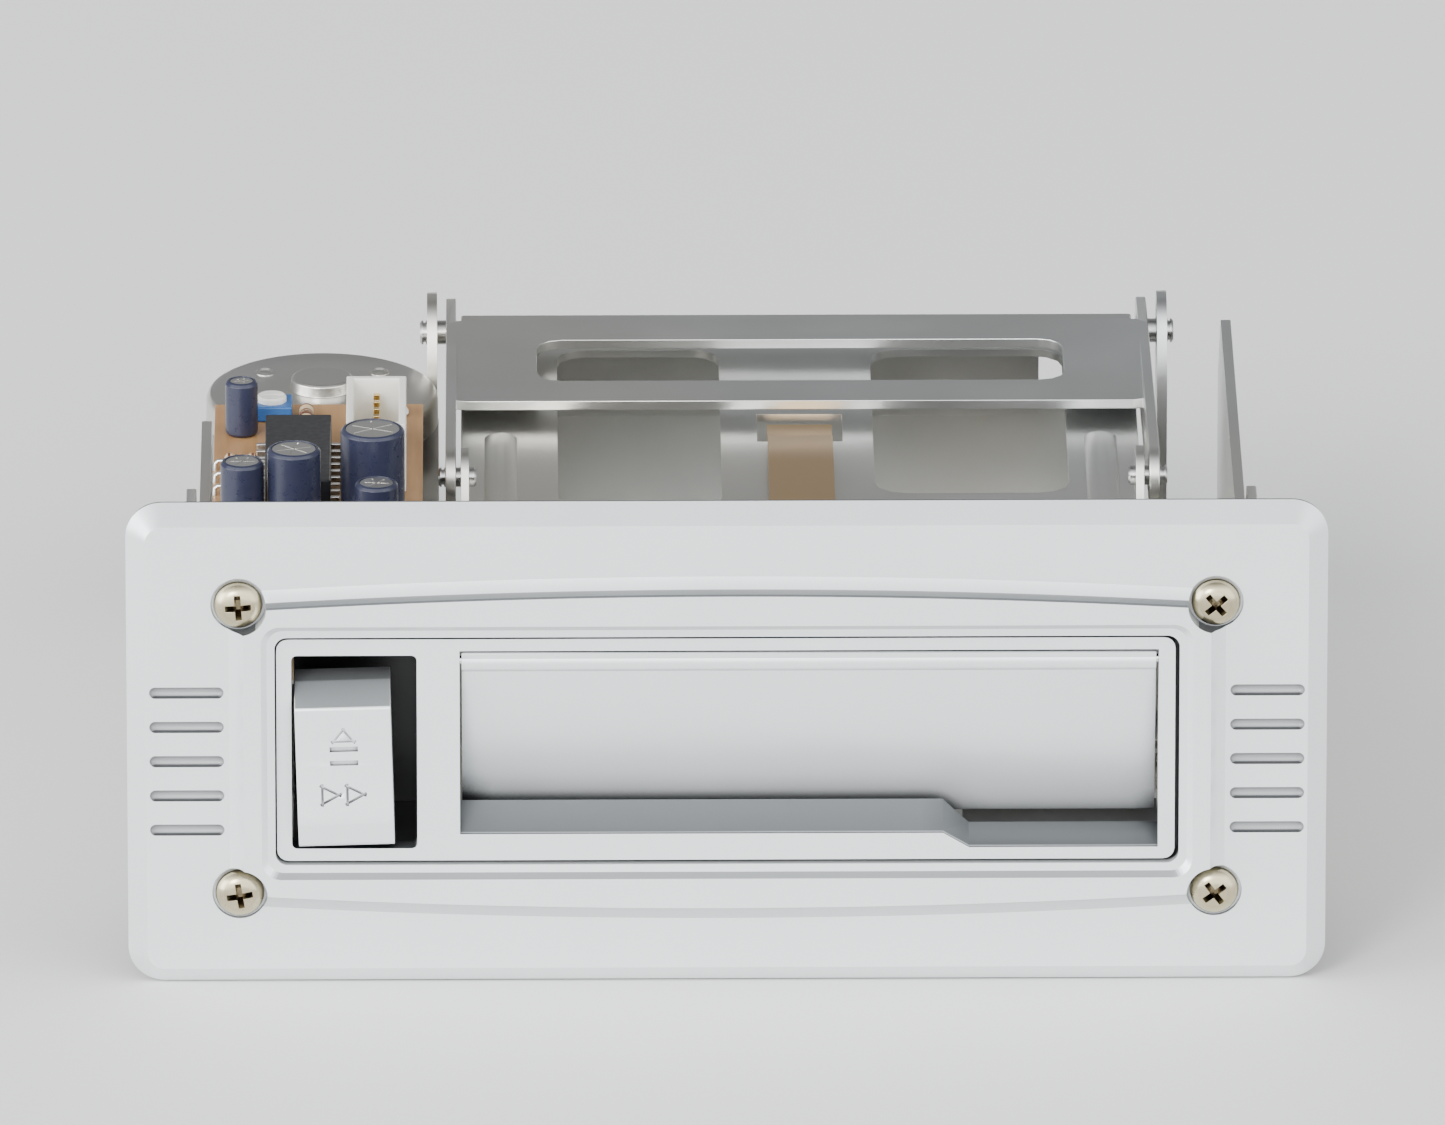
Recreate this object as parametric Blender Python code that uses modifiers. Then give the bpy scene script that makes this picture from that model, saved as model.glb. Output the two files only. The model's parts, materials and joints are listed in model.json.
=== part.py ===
"""Slot-in cassette deck module: a silver bezel with a cassette door and an eject button, and its mechanism.

Frame: +X right, +Y into the cabinet, +Z up. The origin is the centre of the panel cut-out, on the plane where
the back of the bezel meets the cabinet panel. Sizes here are in millimetres, and MM turns them into metres.
A compact cassette goes in end first, with its head side to the right, and is lowered onto the spindles.
"""

import math

import bmesh
import bpy
from mathutils import Matrix, Vector

MM = 0.001
GAP = 0.3  # between pieces that touch

# Bezel
BEZEL_WIDTH = 115.0
BEZEL_HEIGHT = 48.8
BEZEL_THICK = 2.4
BEZEL_CORNER = 3.5
CHAMFER = 1.87
LENS_FRONT = -3.9
SCREW_X = 46.75
SCREW_Z = 14.7
PANEL_THICK = 12.0  # cabinet panel between the bezel and the bracket ears
COLLAR_X = 43.4
COLLAR_Z = 20.0
COLLAR_WALL = 1.4
POCKET_X = 43.3
POCKET_Z = 11.6
GROOVE_RADIUS = 0.55
GROOVE_SPACING = 3.5

# Slot, door and button
PANEL_FRONT = -2.9
SLOT_LEFT = -25.6
SLOT_RIGHT = 41.3
SLOT_TOP = 10.06
SILL_CREST_Y = 0.95
SILL_LEFT = (-8.63, -6.3)  # Z of the front edge and of the crest
SILL_RIGHT = (-10.1, -8.7)
SILL_STEP_X = (20.7, 23.2)
SHELF_TOP = -9.0
DOOR_AXIS = (-1.5, 8.7)  # Y, Z
DOOR_BOTTOM = -8.2
BUTTON_HOLE = (-41.7, -29.7)
BUTTON_X = (-41.25, -32.05)
BUTTON_Z = (-9.56, 6.57)
BUTTON_BACK = 2.2
BUTTON_LEAN = math.radians(1.5)

# Compact cassette, and where it lies when it is loaded but still raised
CASSETTE_LENGTH = 100.4
CASSETTE_THIN = 8.7
CASSETTE_THICK = 12.0
CASSETTE_RIGHT = 39.85
CASSETTE_FRONT = 5.0
CASSETTE_FLOOR = -6.0
REEL_SPACING = 42.5
REEL_X = CASSETTE_RIGHT - 34.2
CASSETTE_MID_Y = CASSETTE_FRONT + CASSETTE_LENGTH / 2
DROP = 9.0

# Deck plate
DECK_TOP = -18.3
DECK_THICK = 1.0
DECK_BOTTOM = DECK_TOP - DECK_THICK
DECK_X = 51.0
DECK_FRONT = 13.5
DECK_REAR = 111.0
WALL_TOP = 6.0
BRACKET_SCREWS = (("front", 32.0), ("rear", 56.0))

# Drive
CAPSTAN = (CASSETTE_RIGHT - 13.0, CASSETTE_MID_Y + 25.5)
FLYWHEEL_RADIUS = 22.0
BELT_Z = -21.3
BELT_RADIUS = 0.45
FLYWHEEL_GROOVE = 21.0
MOTOR = (-39.3, 95.0)
MOTOR_RADIUS = 11.5
MOTOR_HEIGHT = 20.0
MOTOR_GROOVE = 4.0
MOTOR_SCREW_OFFSET = 8.0
GEAR_MODULE = 0.5
REEL_TEETH = 44
PINION_TEETH = 14
DRIVE_GROOVE = 11.0
SUPPLY = (REEL_X, CASSETTE_MID_Y - REEL_SPACING / 2)
TAKE_UP = (REEL_X, CASSETTE_MID_Y + REEL_SPACING / 2)
REEL_DRIVE = (REEL_X - GEAR_MODULE * (REEL_TEETH + PINION_TEETH) / 2 - 0.1, TAKE_UP[1])

# Lift arm: its pivot and the holder pins that it carries, as Y and Z
LIFT_PIVOT = (107.0, 3.5)
HOLDER_PIN = (52.0, 8.0)

# Head and pinch roller
HEAD_FACE_X = 40.5
TAPE_Z = CASSETTE_FLOOR + CASSETTE_THIN / 2 - DROP
HEAD_STUDS = ((40.0, 44.4), (40.0, 69.5))
PINCH_PIVOT = (38.85, 97.5)
PINCH_ROLLER = (44.85, CAPSTAN[1])
PINCH_RADIUS = 4.75


# ---------------------------------------------------------------- scene and materials


def clear_scene():
    for thing in list(bpy.data.objects):
        bpy.data.objects.remove(thing, do_unlink=True)


def new_collection(name):
    made = bpy.data.collections.new(name)
    bpy.context.scene.collection.children.link(made)
    return made


def make_material(name, colour, roughness, metallic):
    material = bpy.data.materials.new(name)
    material.use_nodes = True
    shader = material.node_tree.nodes["Principled BSDF"]
    shader.inputs["Base Color"].default_value = (*colour, 1.0)
    shader.inputs["Roughness"].default_value = roughness
    shader.inputs["Metallic"].default_value = metallic
    material.diffuse_color = (*colour, 1.0)
    return material


# ---------------------------------------------------------------- solids, in millimetres


def add_object(name, mesh, material, home, smooth=False):
    mesh.materials.append(material)
    if smooth:
        mesh.shade_smooth()
        mesh.set_sharp_from_angle(angle=math.radians(35))
    thing = bpy.data.objects.new(name, mesh)
    home.objects.link(thing)
    if home is cutters:
        thing.hide_render = True
        thing.display_type = "WIRE"
    return thing


def mesh_from(bm, name):
    bmesh.ops.recalc_face_normals(bm, faces=bm.faces)
    if bm.calc_volume(signed=True) < 0:
        bmesh.ops.reverse_faces(bm, faces=bm.faces)
    mesh = bpy.data.meshes.new(name)
    bm.to_mesh(mesh)
    bm.free()
    return mesh


def box(name, low, high, material, home=None):
    """A block between two corners."""
    low, high = Vector(low), Vector(high)
    bm = bmesh.new()
    bmesh.ops.create_cube(bm, size=1.0)
    size = Matrix.Diagonal((*((high - low) * MM), 1.0))
    bm.transform(Matrix.Translation((low + high) * MM / 2) @ size)
    return add_object(name, mesh_from(bm, name), material, home or parts)


def rod(name, start, end, radius, material, home=None, sides=20, tip_radius=None):
    """A cylinder, or a cone, from one point to another."""
    start, end = Vector(start) * MM, Vector(end) * MM
    way = end - start
    bm = bmesh.new()
    tip = radius if tip_radius is None else tip_radius
    bmesh.ops.create_cone(
        bm, cap_ends=True, segments=sides, radius1=radius * MM, radius2=tip * MM, depth=way.length
    )
    turn = way.to_track_quat("Z", "Y").to_matrix().to_4x4()
    bm.transform(Matrix.Translation((start + end) / 2) @ turn)
    return add_object(name, mesh_from(bm, name), material, home or parts, smooth=True)


PLANES = {
    "XY": Matrix.Identity(4),
    "XZ": Matrix(((1, 0, 0, 0), (0, 0, -1, 0), (0, 1, 0, 0), (0, 0, 0, 1))),
    "YZ": Matrix(((0, 0, 1, 0), (1, 0, 0, 0), (0, 1, 0, 0), (0, 0, 0, 1))),
}


def plate(name, loops, plane, near, far, material, home=None):
    """A flat outline with its holes, from a filled 2D curve. near and far are its faces along the third axis,
    which is +Z for XY, -Y for XZ and +X for YZ."""
    curve = bpy.data.curves.new(name, "CURVE")
    curve.dimensions = "2D"
    curve.fill_mode = "BOTH"
    curve.extrude = abs(far - near) * MM / 2
    for loop in loops:
        spline = curve.splines.new("POLY")
        spline.points.add(len(loop) - 1)
        for point, (across, up) in zip(spline.points, loop):
            point.co = (across * MM, up * MM, 0.0, 1.0)
        spline.use_cyclic_u = True
    guide = bpy.data.objects.new(name + "_outline", curve)
    bpy.context.scene.collection.objects.link(guide)
    place = PLANES[plane] @ Matrix.Translation((0, 0, (near + far) * MM / 2))
    mesh = mesh_of(guide)
    bm = bmesh.new()
    bm.from_mesh(mesh)
    bmesh.ops.remove_doubles(bm, verts=bm.verts, dist=1e-6)
    bm.transform(place)
    bpy.data.meshes.remove(mesh)
    bpy.data.objects.remove(guide, do_unlink=True)
    return add_object(name, mesh_from(bm, name), material, home or parts)


def mesh_of(guide):
    bpy.context.view_layer.update()
    graph = bpy.context.evaluated_depsgraph_get()
    return bpy.data.meshes.new_from_object(guide.evaluated_get(graph))


def loft(name, sections, material, home=None):
    """A closed solid through outlines that have the same number of points."""
    bm = bmesh.new()
    rings = [[bm.verts.new(Vector(point) * MM) for point in section] for section in sections]
    for ring, following in zip(rings, rings[1:]):
        for here in range(len(ring)):
            after = (here + 1) % len(ring)
            bm.faces.new((ring[here], ring[after], following[after], following[here]))
    bm.faces.new(rings[0])
    bm.faces.new(rings[-1])
    bmesh.ops.connect_verts_nonplanar(bm, angle_limit=0.001, faces=bm.faces)
    return add_object(name, mesh_from(bm, name), material, home or parts)


def turned(name, profile, centre, material, home=None, steps=32, close=False):
    """A profile of radius and height, top to bottom, turned about the upright line through centre."""
    bm = bmesh.new()
    row = [bm.verts.new((radius * MM, 0.0, height * MM)) for radius, height in profile]
    for first, second in zip(row, row[1:]):
        bm.edges.new((first, second))
    if close:
        bm.edges.new((row[-1], row[0]))
    mesh = bpy.data.meshes.new(name)
    bm.to_mesh(mesh)
    bm.free()
    thing = add_object(name, mesh, material, home or parts)
    thing.location = (centre[0] * MM, centre[1] * MM, 0.0)
    screw = thing.modifiers.new("turn", "SCREW")
    screw.steps = steps
    screw.render_steps = steps
    screw.use_merge_vertices = True
    screw.merge_threshold = 0.00001
    screw.use_smooth_shade = True
    return thing


def wire(name, points, radius, material, home=None, closed=False, resolution=1):
    """A bent wire or belt, as a swept polyline with filled ends."""
    curve = bpy.data.curves.new(name, "CURVE")
    curve.dimensions = "3D"
    curve.bevel_depth = radius * MM
    curve.bevel_resolution = resolution
    curve.use_fill_caps = True
    spline = curve.splines.new("POLY")
    spline.points.add(len(points) - 1)
    for point, place in zip(spline.points, points):
        point.co = (*(Vector(place) * MM), 1.0)
    spline.use_cyclic_u = closed
    curve.materials.append(material)
    thing = bpy.data.objects.new(name, curve)
    (home or parts).objects.link(thing)
    return thing


def change(thing, others, operation):
    """Cuts the others from the thing, or joins them to it."""
    for other in others:
        if other.name not in cutters.objects:
            parts.objects.unlink(other)
            cutters.objects.link(other)
        other.hide_render = True
        other.display_type = "WIRE"
        step = thing.modifiers.new(other.name, "BOOLEAN")
        step.operation = operation
        step.solver = "EXACT"
        step.object = other
    return thing


def cut(thing, *others):
    return change(thing, others, "DIFFERENCE")


def join(thing, *others):
    return change(thing, others, "UNION")


# ---------------------------------------------------------------- outlines


def arc(centre, radius, start, end, steps):
    """Points on a circle, with the angles in degrees."""
    angles = [math.radians(start + (end - start) * step / steps) for step in range(steps + 1)]
    return [(centre[0] + radius * math.cos(a), centre[1] + radius * math.sin(a)) for a in angles]


def circle(centre, radius, sides=20):
    return arc(centre, radius, 0, 360, sides)[:-1]


def rounded(left, right, bottom, top, radius, steps=4):
    """A rectangle with round corners."""
    points = []
    corners = ((right, top, 0), (left, top, 90), (left, bottom, 180), (right, bottom, 270))
    for x, y, start in corners:
        inset_x = x - math.copysign(radius, x - (left + right) / 2)
        inset_y = y - math.copysign(radius, y - (bottom + top) / 2)
        points += arc((inset_x, inset_y), radius, start, start + 90, steps)
    return points


def rectangle(left, right, bottom, top):
    return [(right, top), (left, top), (left, bottom), (right, bottom)]


def link_outline(first, first_radius, second, second_radius, steps=8):
    """The outline of a lever: two round ends joined by straight sides."""
    way = math.degrees(math.atan2(second[1] - first[1], second[0] - first[0]))
    far_end = arc(second, second_radius, way - 90, way + 90, steps)
    return far_end + arc(first, first_radius, way + 90, way + 270, steps)


def gear_outline(teeth, module, turn):
    """Straight-sided teeth, a little thin so that two meshed gears never touch."""
    pitch = teeth * module / 2
    step = 2 * math.pi / teeth
    shape = ((-0.31, pitch - 1.2 * module), (-0.12, pitch + 0.75 * module))
    points = []
    for tooth in range(teeth):
        for side, radius in shape + tuple((-s, r) for s, r in reversed(shape)):
            angle = turn + step * (tooth + side)
            points.append((radius * math.cos(angle), radius * math.sin(angle)))
    return points


def at(points, centre):
    return [(x + centre[0], y + centre[1]) for x, y in points]


def xz(points, y):
    return [(x, y, z) for x, z in points]


def yz(points, x):
    return [(x, y, z) for y, z in points]


# ---------------------------------------------------------------- bezel


def pillow(half_width, end_z, rise, steps=12):
    """The raised lens on the bezel: straight sides, with a shallow arc above and below."""
    top = [
        (half_width * (1 - 2 * s / steps), end_z + rise * (1 - (1 - 2 * s / steps) ** 2))
        for s in range(steps + 1)
    ]
    return top + [(-x, -z) for x, z in top]


def build_bezel():
    half_x, half_z = BEZEL_WIDTH / 2, BEZEL_HEIGHT / 2
    outer = rounded(-half_x, half_x, -half_z, half_z, BEZEL_CORNER)
    inner = rounded(
        CHAMFER - half_x, half_x - CHAMFER, CHAMFER - half_z, half_z - CHAMFER, BEZEL_CORNER - CHAMFER
    )
    bezel = loft(
        "front_bezel", [xz(outer, 0.0), xz(outer, -0.3), xz(inner, -BEZEL_THICK)], silver_paint
    )
    lens = [
        xz(pillow(47.3, 15.9, 1.5), -1.5),
        xz(pillow(47.3, 15.9, 1.5), -BEZEL_THICK),
        xz(pillow(46.4, 14.5, 1.4), LENS_FRONT),
    ]
    collar_in_x, collar_in_z = COLLAR_X - COLLAR_WALL, COLLAR_Z - COLLAR_WALL
    collar = plate(
        "collar",
        [
            rectangle(-COLLAR_X, COLLAR_X, -COLLAR_Z, COLLAR_Z),
            rectangle(-collar_in_x, collar_in_x, -collar_in_z, collar_in_z),
        ],
        "XZ",
        1.0,
        GAP - PANEL_THICK,
        silver_paint,
        cutters,
    )
    join(bezel, loft("lens", lens, silver_paint, cutters), collar)

    def pocket_outline(grow):
        return rounded(
            -POCKET_X - grow, POCKET_X + grow, -POCKET_Z - grow, POCKET_Z + grow, 1.2 + grow / 2
        )

    pocket = loft(
        "pocket",
        [
            xz(pocket_outline(1.6), LENS_FRONT - 0.3),
            xz(pocket_outline(0.7), LENS_FRONT + 0.6),
            xz(pocket_outline(0.0), LENS_FRONT + 0.65),
            xz(pocket_outline(0.0), -0.6),
        ],
        silver_paint,
        cutters,
    )
    through = box("through", (-41.8, -1.0, -10.9), (41.8, 0.5, 10.9), silver_paint, cutters)
    cut(bezel, pocket, through)
    for index, (side, level) in enumerate(((-1, 1), (1, 1), (-1, -1), (1, -1))):
        x, z = side * SCREW_X, level * SCREW_Z
        hole = rod(f"hole_{index}", (x, -4.5, z), (x, 1.0, z), 1.7, silver_paint, cutters)
        seat = rod(f"seat_{index}", (x, -4.5, z), (x, -1.9, z), 2.65, silver_paint, cutters)
        cut(bezel, hole, seat)
    for side in (-1, 1):
        for line in range(5):
            z = 5.7 - GROOVE_SPACING * line
            start, end = (side * 48.2, -BEZEL_THICK, z), (side * 55.2, -BEZEL_THICK, z)
            cut(
                bezel,
                rod(f"groove_{side}_{line}", start, end, GROOVE_RADIUS, silver_paint, cutters, 12),
            )


def build_bezel_screws():
    """Pan-head machine screws that pull the bezel and the bracket ears together through the cabinet panel."""
    names = (("top_left", -1, 1), ("top_right", 1, 1), ("bottom_left", -1, -1), ("bottom_right", 1, -1))
    for name, side, level in names:
        x, z = side * SCREW_X, level * SCREW_Z
        tip = PANEL_THICK + 3.0
        shank = rod("shank_" + name, (x, -2.4, z), (x, tip, z), 1.4, zinc, cutters, 12)
        screw = rod(
            "bezel_screw_" + name, (x, -2.1, z), (x, -3.6, z), 2.35, zinc, sides=20, tip_radius=1.8
        )
        bar = box("drive_" + name, (x - 1.3, -4.0, z - 0.3), (x + 1.3, -2.7, z + 0.3), zinc, cutters)
        post = box("driver_" + name, (x - 0.3, -4.0, z - 1.3), (x + 0.3, -2.7, z + 1.3), zinc, cutters)
        join(screw, shank)
        cut(screw, bar, post)


# ---------------------------------------------------------------- slot, door and button


def sill_section(front_z, crest_z):
    """The lead-in ramp's outline as Y and Z, from the foot of its front face over the crest to its back."""
    return [
        (PANEL_FRONT + 0.1, -11.1),
        (PANEL_FRONT + 0.1, front_z - 0.2),
        (PANEL_FRONT + 0.5, front_z + 0.15),
        (SILL_CREST_Y - 0.4, crest_z - 0.1),
        (SILL_CREST_Y, crest_z - 0.3),
        (SILL_CREST_Y, -10.7),
        (-1.0, -10.7),
        (-1.0, -11.1),
    ]


def build_slot_frame():
    """The inner panel: button hole, slot and lead-in ramp, with the button's housing and a cheek behind."""
    back = -0.8
    left, right, bottom, top = -43.15, 42.9, -11.3, 11.3
    hole_bottom, hole_top = -10.05, 9.63
    slot = [
        (SLOT_RIGHT, SLOT_TOP),
        (SLOT_LEFT, SLOT_TOP),
        (SLOT_LEFT, SILL_LEFT[0]),
        (SILL_STEP_X[0], SILL_LEFT[0]),
        (SILL_STEP_X[1], SILL_RIGHT[0]),
        (SLOT_RIGHT, SILL_RIGHT[0]),
    ]
    frame = plate(
        "slot_frame",
        [
            rounded(left, right, bottom, top, 1.1),
            rounded(*BUTTON_HOLE, hole_bottom, hole_top, 0.5),
            slot,
        ],
        "XZ",
        -back,
        -PANEL_FRONT,
        silver_paint,
    )
    low_end, high_end = SLOT_LEFT - 0.6, SLOT_RIGHT + 0.2
    sill = loft(
        "sill",
        [
            yz(sill_section(*SILL_LEFT), low_end),
            yz(sill_section(*SILL_LEFT), SILL_STEP_X[0]),
            yz(sill_section(*SILL_RIGHT), SILL_STEP_X[1]),
            yz(sill_section(*SILL_RIGHT), high_end),
        ],
        silver_paint,
        cutters,
    )
    shelf = box(
        "shelf",
        (SILL_STEP_X[1] - 0.5, 0.4, SHELF_TOP - 0.9),
        (high_end - 0.1, 7.5, SHELF_TOP),
        silver_paint,
        cutters,
    )
    cheek = box("cheek", (SLOT_LEFT - 1.6, -1.5, -10.6), (SLOT_LEFT, 9.0, 10.5), silver_paint, cutters)
    wall, housing_back = 0.8, 11.2
    left_end, right_in = -41.65, BUTTON_HOLE[1] + 0.1
    low_in, high_in = hole_bottom - 0.1, hole_top + 0.1
    channel = [
        (left_end, high_in + wall),
        (left_end, high_in),
        (right_in, high_in),
        (right_in, low_in),
        (left_end, low_in),
        (left_end, low_in - wall + 0.2),
        (right_in + wall, low_in - wall + 0.2),
        (right_in + wall, high_in + wall),
    ]
    housing = plate("housing", [channel], "XZ", 1.2, -housing_back, silver_paint, cutters)
    rear = plate(
        "housing_rear",
        [
            rectangle(left_end + 0.1, right_in + wall - 0.1, low_in - 0.5, high_in + wall - 0.1),
            rectangle(-37.25, -35.35, -6.4, 2.4),
        ],
        "XZ",
        wall - housing_back,
        -housing_back - 0.1,
        silver_paint,
        cutters,
    )
    join(frame, sill, shelf, cheek, housing, rear)
    y, z = DOOR_AXIS
    bore = rod("door_bore", (-26.9, y, z), (42.75, y, z), 0.75, silver_paint, cutters, 12)
    cut(frame, bore)


def build_door():
    y, z = DOOR_AXIS
    left, right = SLOT_LEFT + 0.2, SLOT_RIGHT - 0.25
    leaf = [
        (-2.75, 9.7),
        (2.2, DOOR_BOTTOM + 0.2),
        (2.4, DOOR_BOTTOM),
        (3.3, DOOR_BOTTOM),
        (3.5, DOOR_BOTTOM + 0.2),
        (-0.4, 8.2),
        (-1.2, 9.85),
        (-2.6, 9.85),
    ]
    door = plate("cassette_door", [leaf], "YZ", left, right, silver_paint)
    barrel = rod("barrel", (left, y, z), (right, y, z), 1.2, silver_paint, cutters, 16)
    bore = rod("barrel_bore", (left - 1, y, z), (right + 1, y, z), 0.65, silver_paint, cutters, 12)
    round_notch = rod("spring_notch", (left - 1, y, z), (left + 3.2, y, z), 0.9, silver_paint, cutters, 16)
    back_notch = box(
        "spring_notch_back", (left - 1, y, z - 0.85), (left + 3.2, 2.0, z + 1.4), silver_paint, cutters
    )
    join(door, barrel)
    cut(door, bore, round_notch, back_notch)
    rod("door_hinge_pin", (-26.7, y, z), (42.5, y, z), 0.45, steel, sides=12)
    radius, turns, across = 0.66, 4, 8
    coil = [
        (
            left + 0.5 + 2.0 * step / (turns * across),
            y + radius * math.cos(2 * math.pi * step / across),
            z - radius * math.sin(2 * math.pi * step / across),
        )
        for step in range(turns * across + 1)
    ]
    leg = [(left + 0.5, y + 1.0, z + 2.0)]
    wire("door_spring", leg + coil, 0.12, steel, resolution=0)


def build_button():
    low, high = BUTTON_Z
    half_x, half_z = (BUTTON_X[1] - BUTTON_X[0]) / 2, (high - low) / 2
    side = [
        (BUTTON_BACK, -half_z),
        (-3.6, -half_z),
        (-4.6, 2.6 - half_z),
        (-4.3, half_z - 1.77),
        (-1.24, half_z),
        (BUTTON_BACK, half_z),
    ]
    button = plate("eject_button", [side], "YZ", -half_x, half_x, silver_paint)
    button.location = (sum(BUTTON_X) / 2 * MM, 0.0, (low + high) / 2 * MM)
    button.rotation_euler = (0.0, -BUTTON_LEAN, 0.0)
    slot = box("button_slot", (-37.3, -1.2, -6.4), (-35.3, 3.0, 2.4), silver_paint, cutters)
    cut(button, slot)


def build_eject_slide():
    bar = [
        (-0.8, -6.0),
        (-0.8, 2.0),
        (30.0, 2.0),
        (32.0, 0.5),
        (73.0, 0.5),
        (73.0, -4.5),
        (62.0, -4.5),
        (61.0, -7.5),
        (58.5, -7.5),
        (58.5, -4.5),
        (30.0, -4.5),
        (28.0, -6.0),
    ]
    plate("eject_slide", [bar], "YZ", -36.9, -35.7, zinc)
    turns, across, radius = 9, 8, 1.7
    start, length = 38.0, 19.0
    coil = [
        (
            -38.9 + radius * math.cos(2 * math.pi * step / across),
            start + length * step / (turns * across),
            -8.0 + radius * math.sin(2 * math.pi * step / across),
        )
        for step in range(turns * across + 1)
    ]
    hook = [(-38.4, start + length + 1.6, -7.6), (-37.4, start + length + 2.4, -7.2)]
    wire("eject_spring", [(-38.9, start - 2.0, -8.4)] + coil + hook, 0.22, steel, resolution=0)


# ---------------------------------------------------------------- chassis


def build_chassis():
    deck = plate(
        "chassis_plate",
        [
            rectangle(-DECK_X, DECK_X, DECK_FRONT, DECK_REAR),
            rectangle(34.2, 43.2, 14.5, 37.5),
            circle(CAPSTAN, 2.95),
            circle(MOTOR, 3.6),
            circle(REEL_DRIVE, 2.95),
            circle(SUPPLY, 1.35, 12),
            circle(TAKE_UP, 1.35, 12),
            rounded(-22.0, -6.0, 20.0, 58.0, 3.0, 3),
            rounded(17.0, 27.0, 24.0, 49.0, 3.0, 3),
        ],
        "XY",
        DECK_BOTTOM,
        DECK_TOP,
        zinc,
    )

    def side_wall(rear):
        return [
            (DECK_FRONT, DECK_BOTTOM),
            (rear, DECK_BOTTOM),
            (rear, -2.0),
            (rear - 8.0, WALL_TOP),
            (24.0, WALL_TOP),
            (DECK_FRONT, -6.0),
        ]

    walls = [
        plate("left_wall", [side_wall(82.0)], "YZ", -DECK_X, -DECK_X + 1.0, zinc, cutters),
        plate("right_wall", [side_wall(DECK_REAR)], "YZ", DECK_X - 1.0, DECK_X, zinc, cutters),
        box("rear_wall", (-24.0, 110.0, DECK_BOTTOM), (39.0, DECK_REAR, -4.0), zinc, cutters),
    ]
    for name, x in (("left_post", -28.9), ("right_post", 43.7)):
        post = [
            (101.5, DECK_BOTTOM),
            (DECK_REAR, DECK_BOTTOM),
            (DECK_REAR, 4.5),
            *arc(LIFT_PIVOT, 4.0, 15, 165, 6),
            (101.5, 0.0),
        ]
        walls.append(plate(name, [post, circle(LIFT_PIVOT, 1.5, 16)], "YZ", x, x + 1.0, zinc, cutters))
    for name, y, top, bottom in (("front_guide", 20.0, 2.4, -6.4), ("rear_guide", 71.0, 0.9, -4.9)):
        guide = [
            rectangle(-40.2, -32.4, DECK_BOTTOM, 4.4),
            rectangle(-37.25, -35.35, bottom, top),
        ]
        walls.append(plate(name, guide, "XZ", -y, -y - 1.0, zinc, cutters))
    walls.append(box("spring_tab", (-42.0, 35.0, DECK_BOTTOM), (-38.2, 36.0, -7.2), zinc, cutters))
    studs = [
        (f"head_stud_{index}", stud, DECK_TOP + 1.5, 0.85, 1.5) for index, stud in enumerate(HEAD_STUDS)
    ]
    studs.append(("pinch_stud", PINCH_PIVOT, -14.75, 1.0, 2.4))
    for name, place, neck_top, neck, head in studs:
        cap_low = neck_top - 0.15
        walls.append(rod(name, (*place, DECK_BOTTOM), (*place, neck_top), neck, zinc, cutters, 14))
        walls.append(rod(name + "_cap", (*place, cap_low), (*place, cap_low + 0.5), head, zinc, cutters, 14))
    join(deck, *walls)
    tab_hole = rod("tab_hole", (-38.9, 34.0, -8.4), (-38.9, 37.0, -8.4), 0.5, zinc, cutters, 10)
    screw_holes = []
    for side in (-1, 1):
        for place, y in BRACKET_SCREWS:
            start, end = (side * 49, y, -4.0), (side * 52, y, -4.0)
            screw_holes.append(rod(f"wall_hole_{side}_{place}", start, end, 1.3, zinc, cutters, 12))
        x, y = MOTOR[0] + side * MOTOR_SCREW_OFFSET, MOTOR[1]
        start, end = (x, y, DECK_BOTTOM - 1), (x, y, DECK_TOP + 1)
        screw_holes.append(rod(f"motor_hole_{side}", start, end, 1.35, zinc, cutters, 12))
    cut(deck, tab_hole, *screw_holes)


def build_brackets():
    for name, side in (("left", -1), ("right", 1)):
        low, high = sorted((side * 44.0, side * 52.4))
        holes = [circle((side * SCREW_X, level * SCREW_Z), 1.6, 16) for level in (-1, 1)]
        bracket = plate(
            "bracket_" + name,
            [rounded(low, high, -18.2, 18.2, 1.0, 2), *holes],
            "XZ",
            -PANEL_THICK,
            -PANEL_THICK - 1.0,
            zinc,
        )
        web = [
            (12.2, -16.0),
            (60.0, -14.0),
            (64.0, -10.0),
            (64.0, 0.0),
            (60.0, 4.0),
            (30.0, 6.0),
            (12.2, 16.0),
        ]
        near, far = sorted((side * 51.4, side * 52.4))
        join(bracket, plate("wing_" + name, [web], "YZ", near, far, zinc, cutters))
        for place, y in BRACKET_SCREWS:
            hole_start, hole_end = (side * 50, y, -4.0), (side * 54, y, -4.0)
            cut(
                bracket,
                rod(f"web_hole_{name}_{place}", hole_start, hole_end, 1.3, zinc, cutters, 12),
            )
            head_start, head_end = (side * 52.6, y, -4.0), (side * 53.9, y, -4.0)
            screw = rod(
                f"bracket_screw_{name}_{place}", head_start, head_end, 2.3, steel, sides=12, tip_radius=1.8
            )
            shank_start, shank_end = (side * 48.4, y, -4.0), (side * 52.8, y, -4.0)
            shank = rod(f"shank_{name}_{place}", shank_start, shank_end, 1.0, steel, cutters, 10)
            join(screw, shank)


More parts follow.
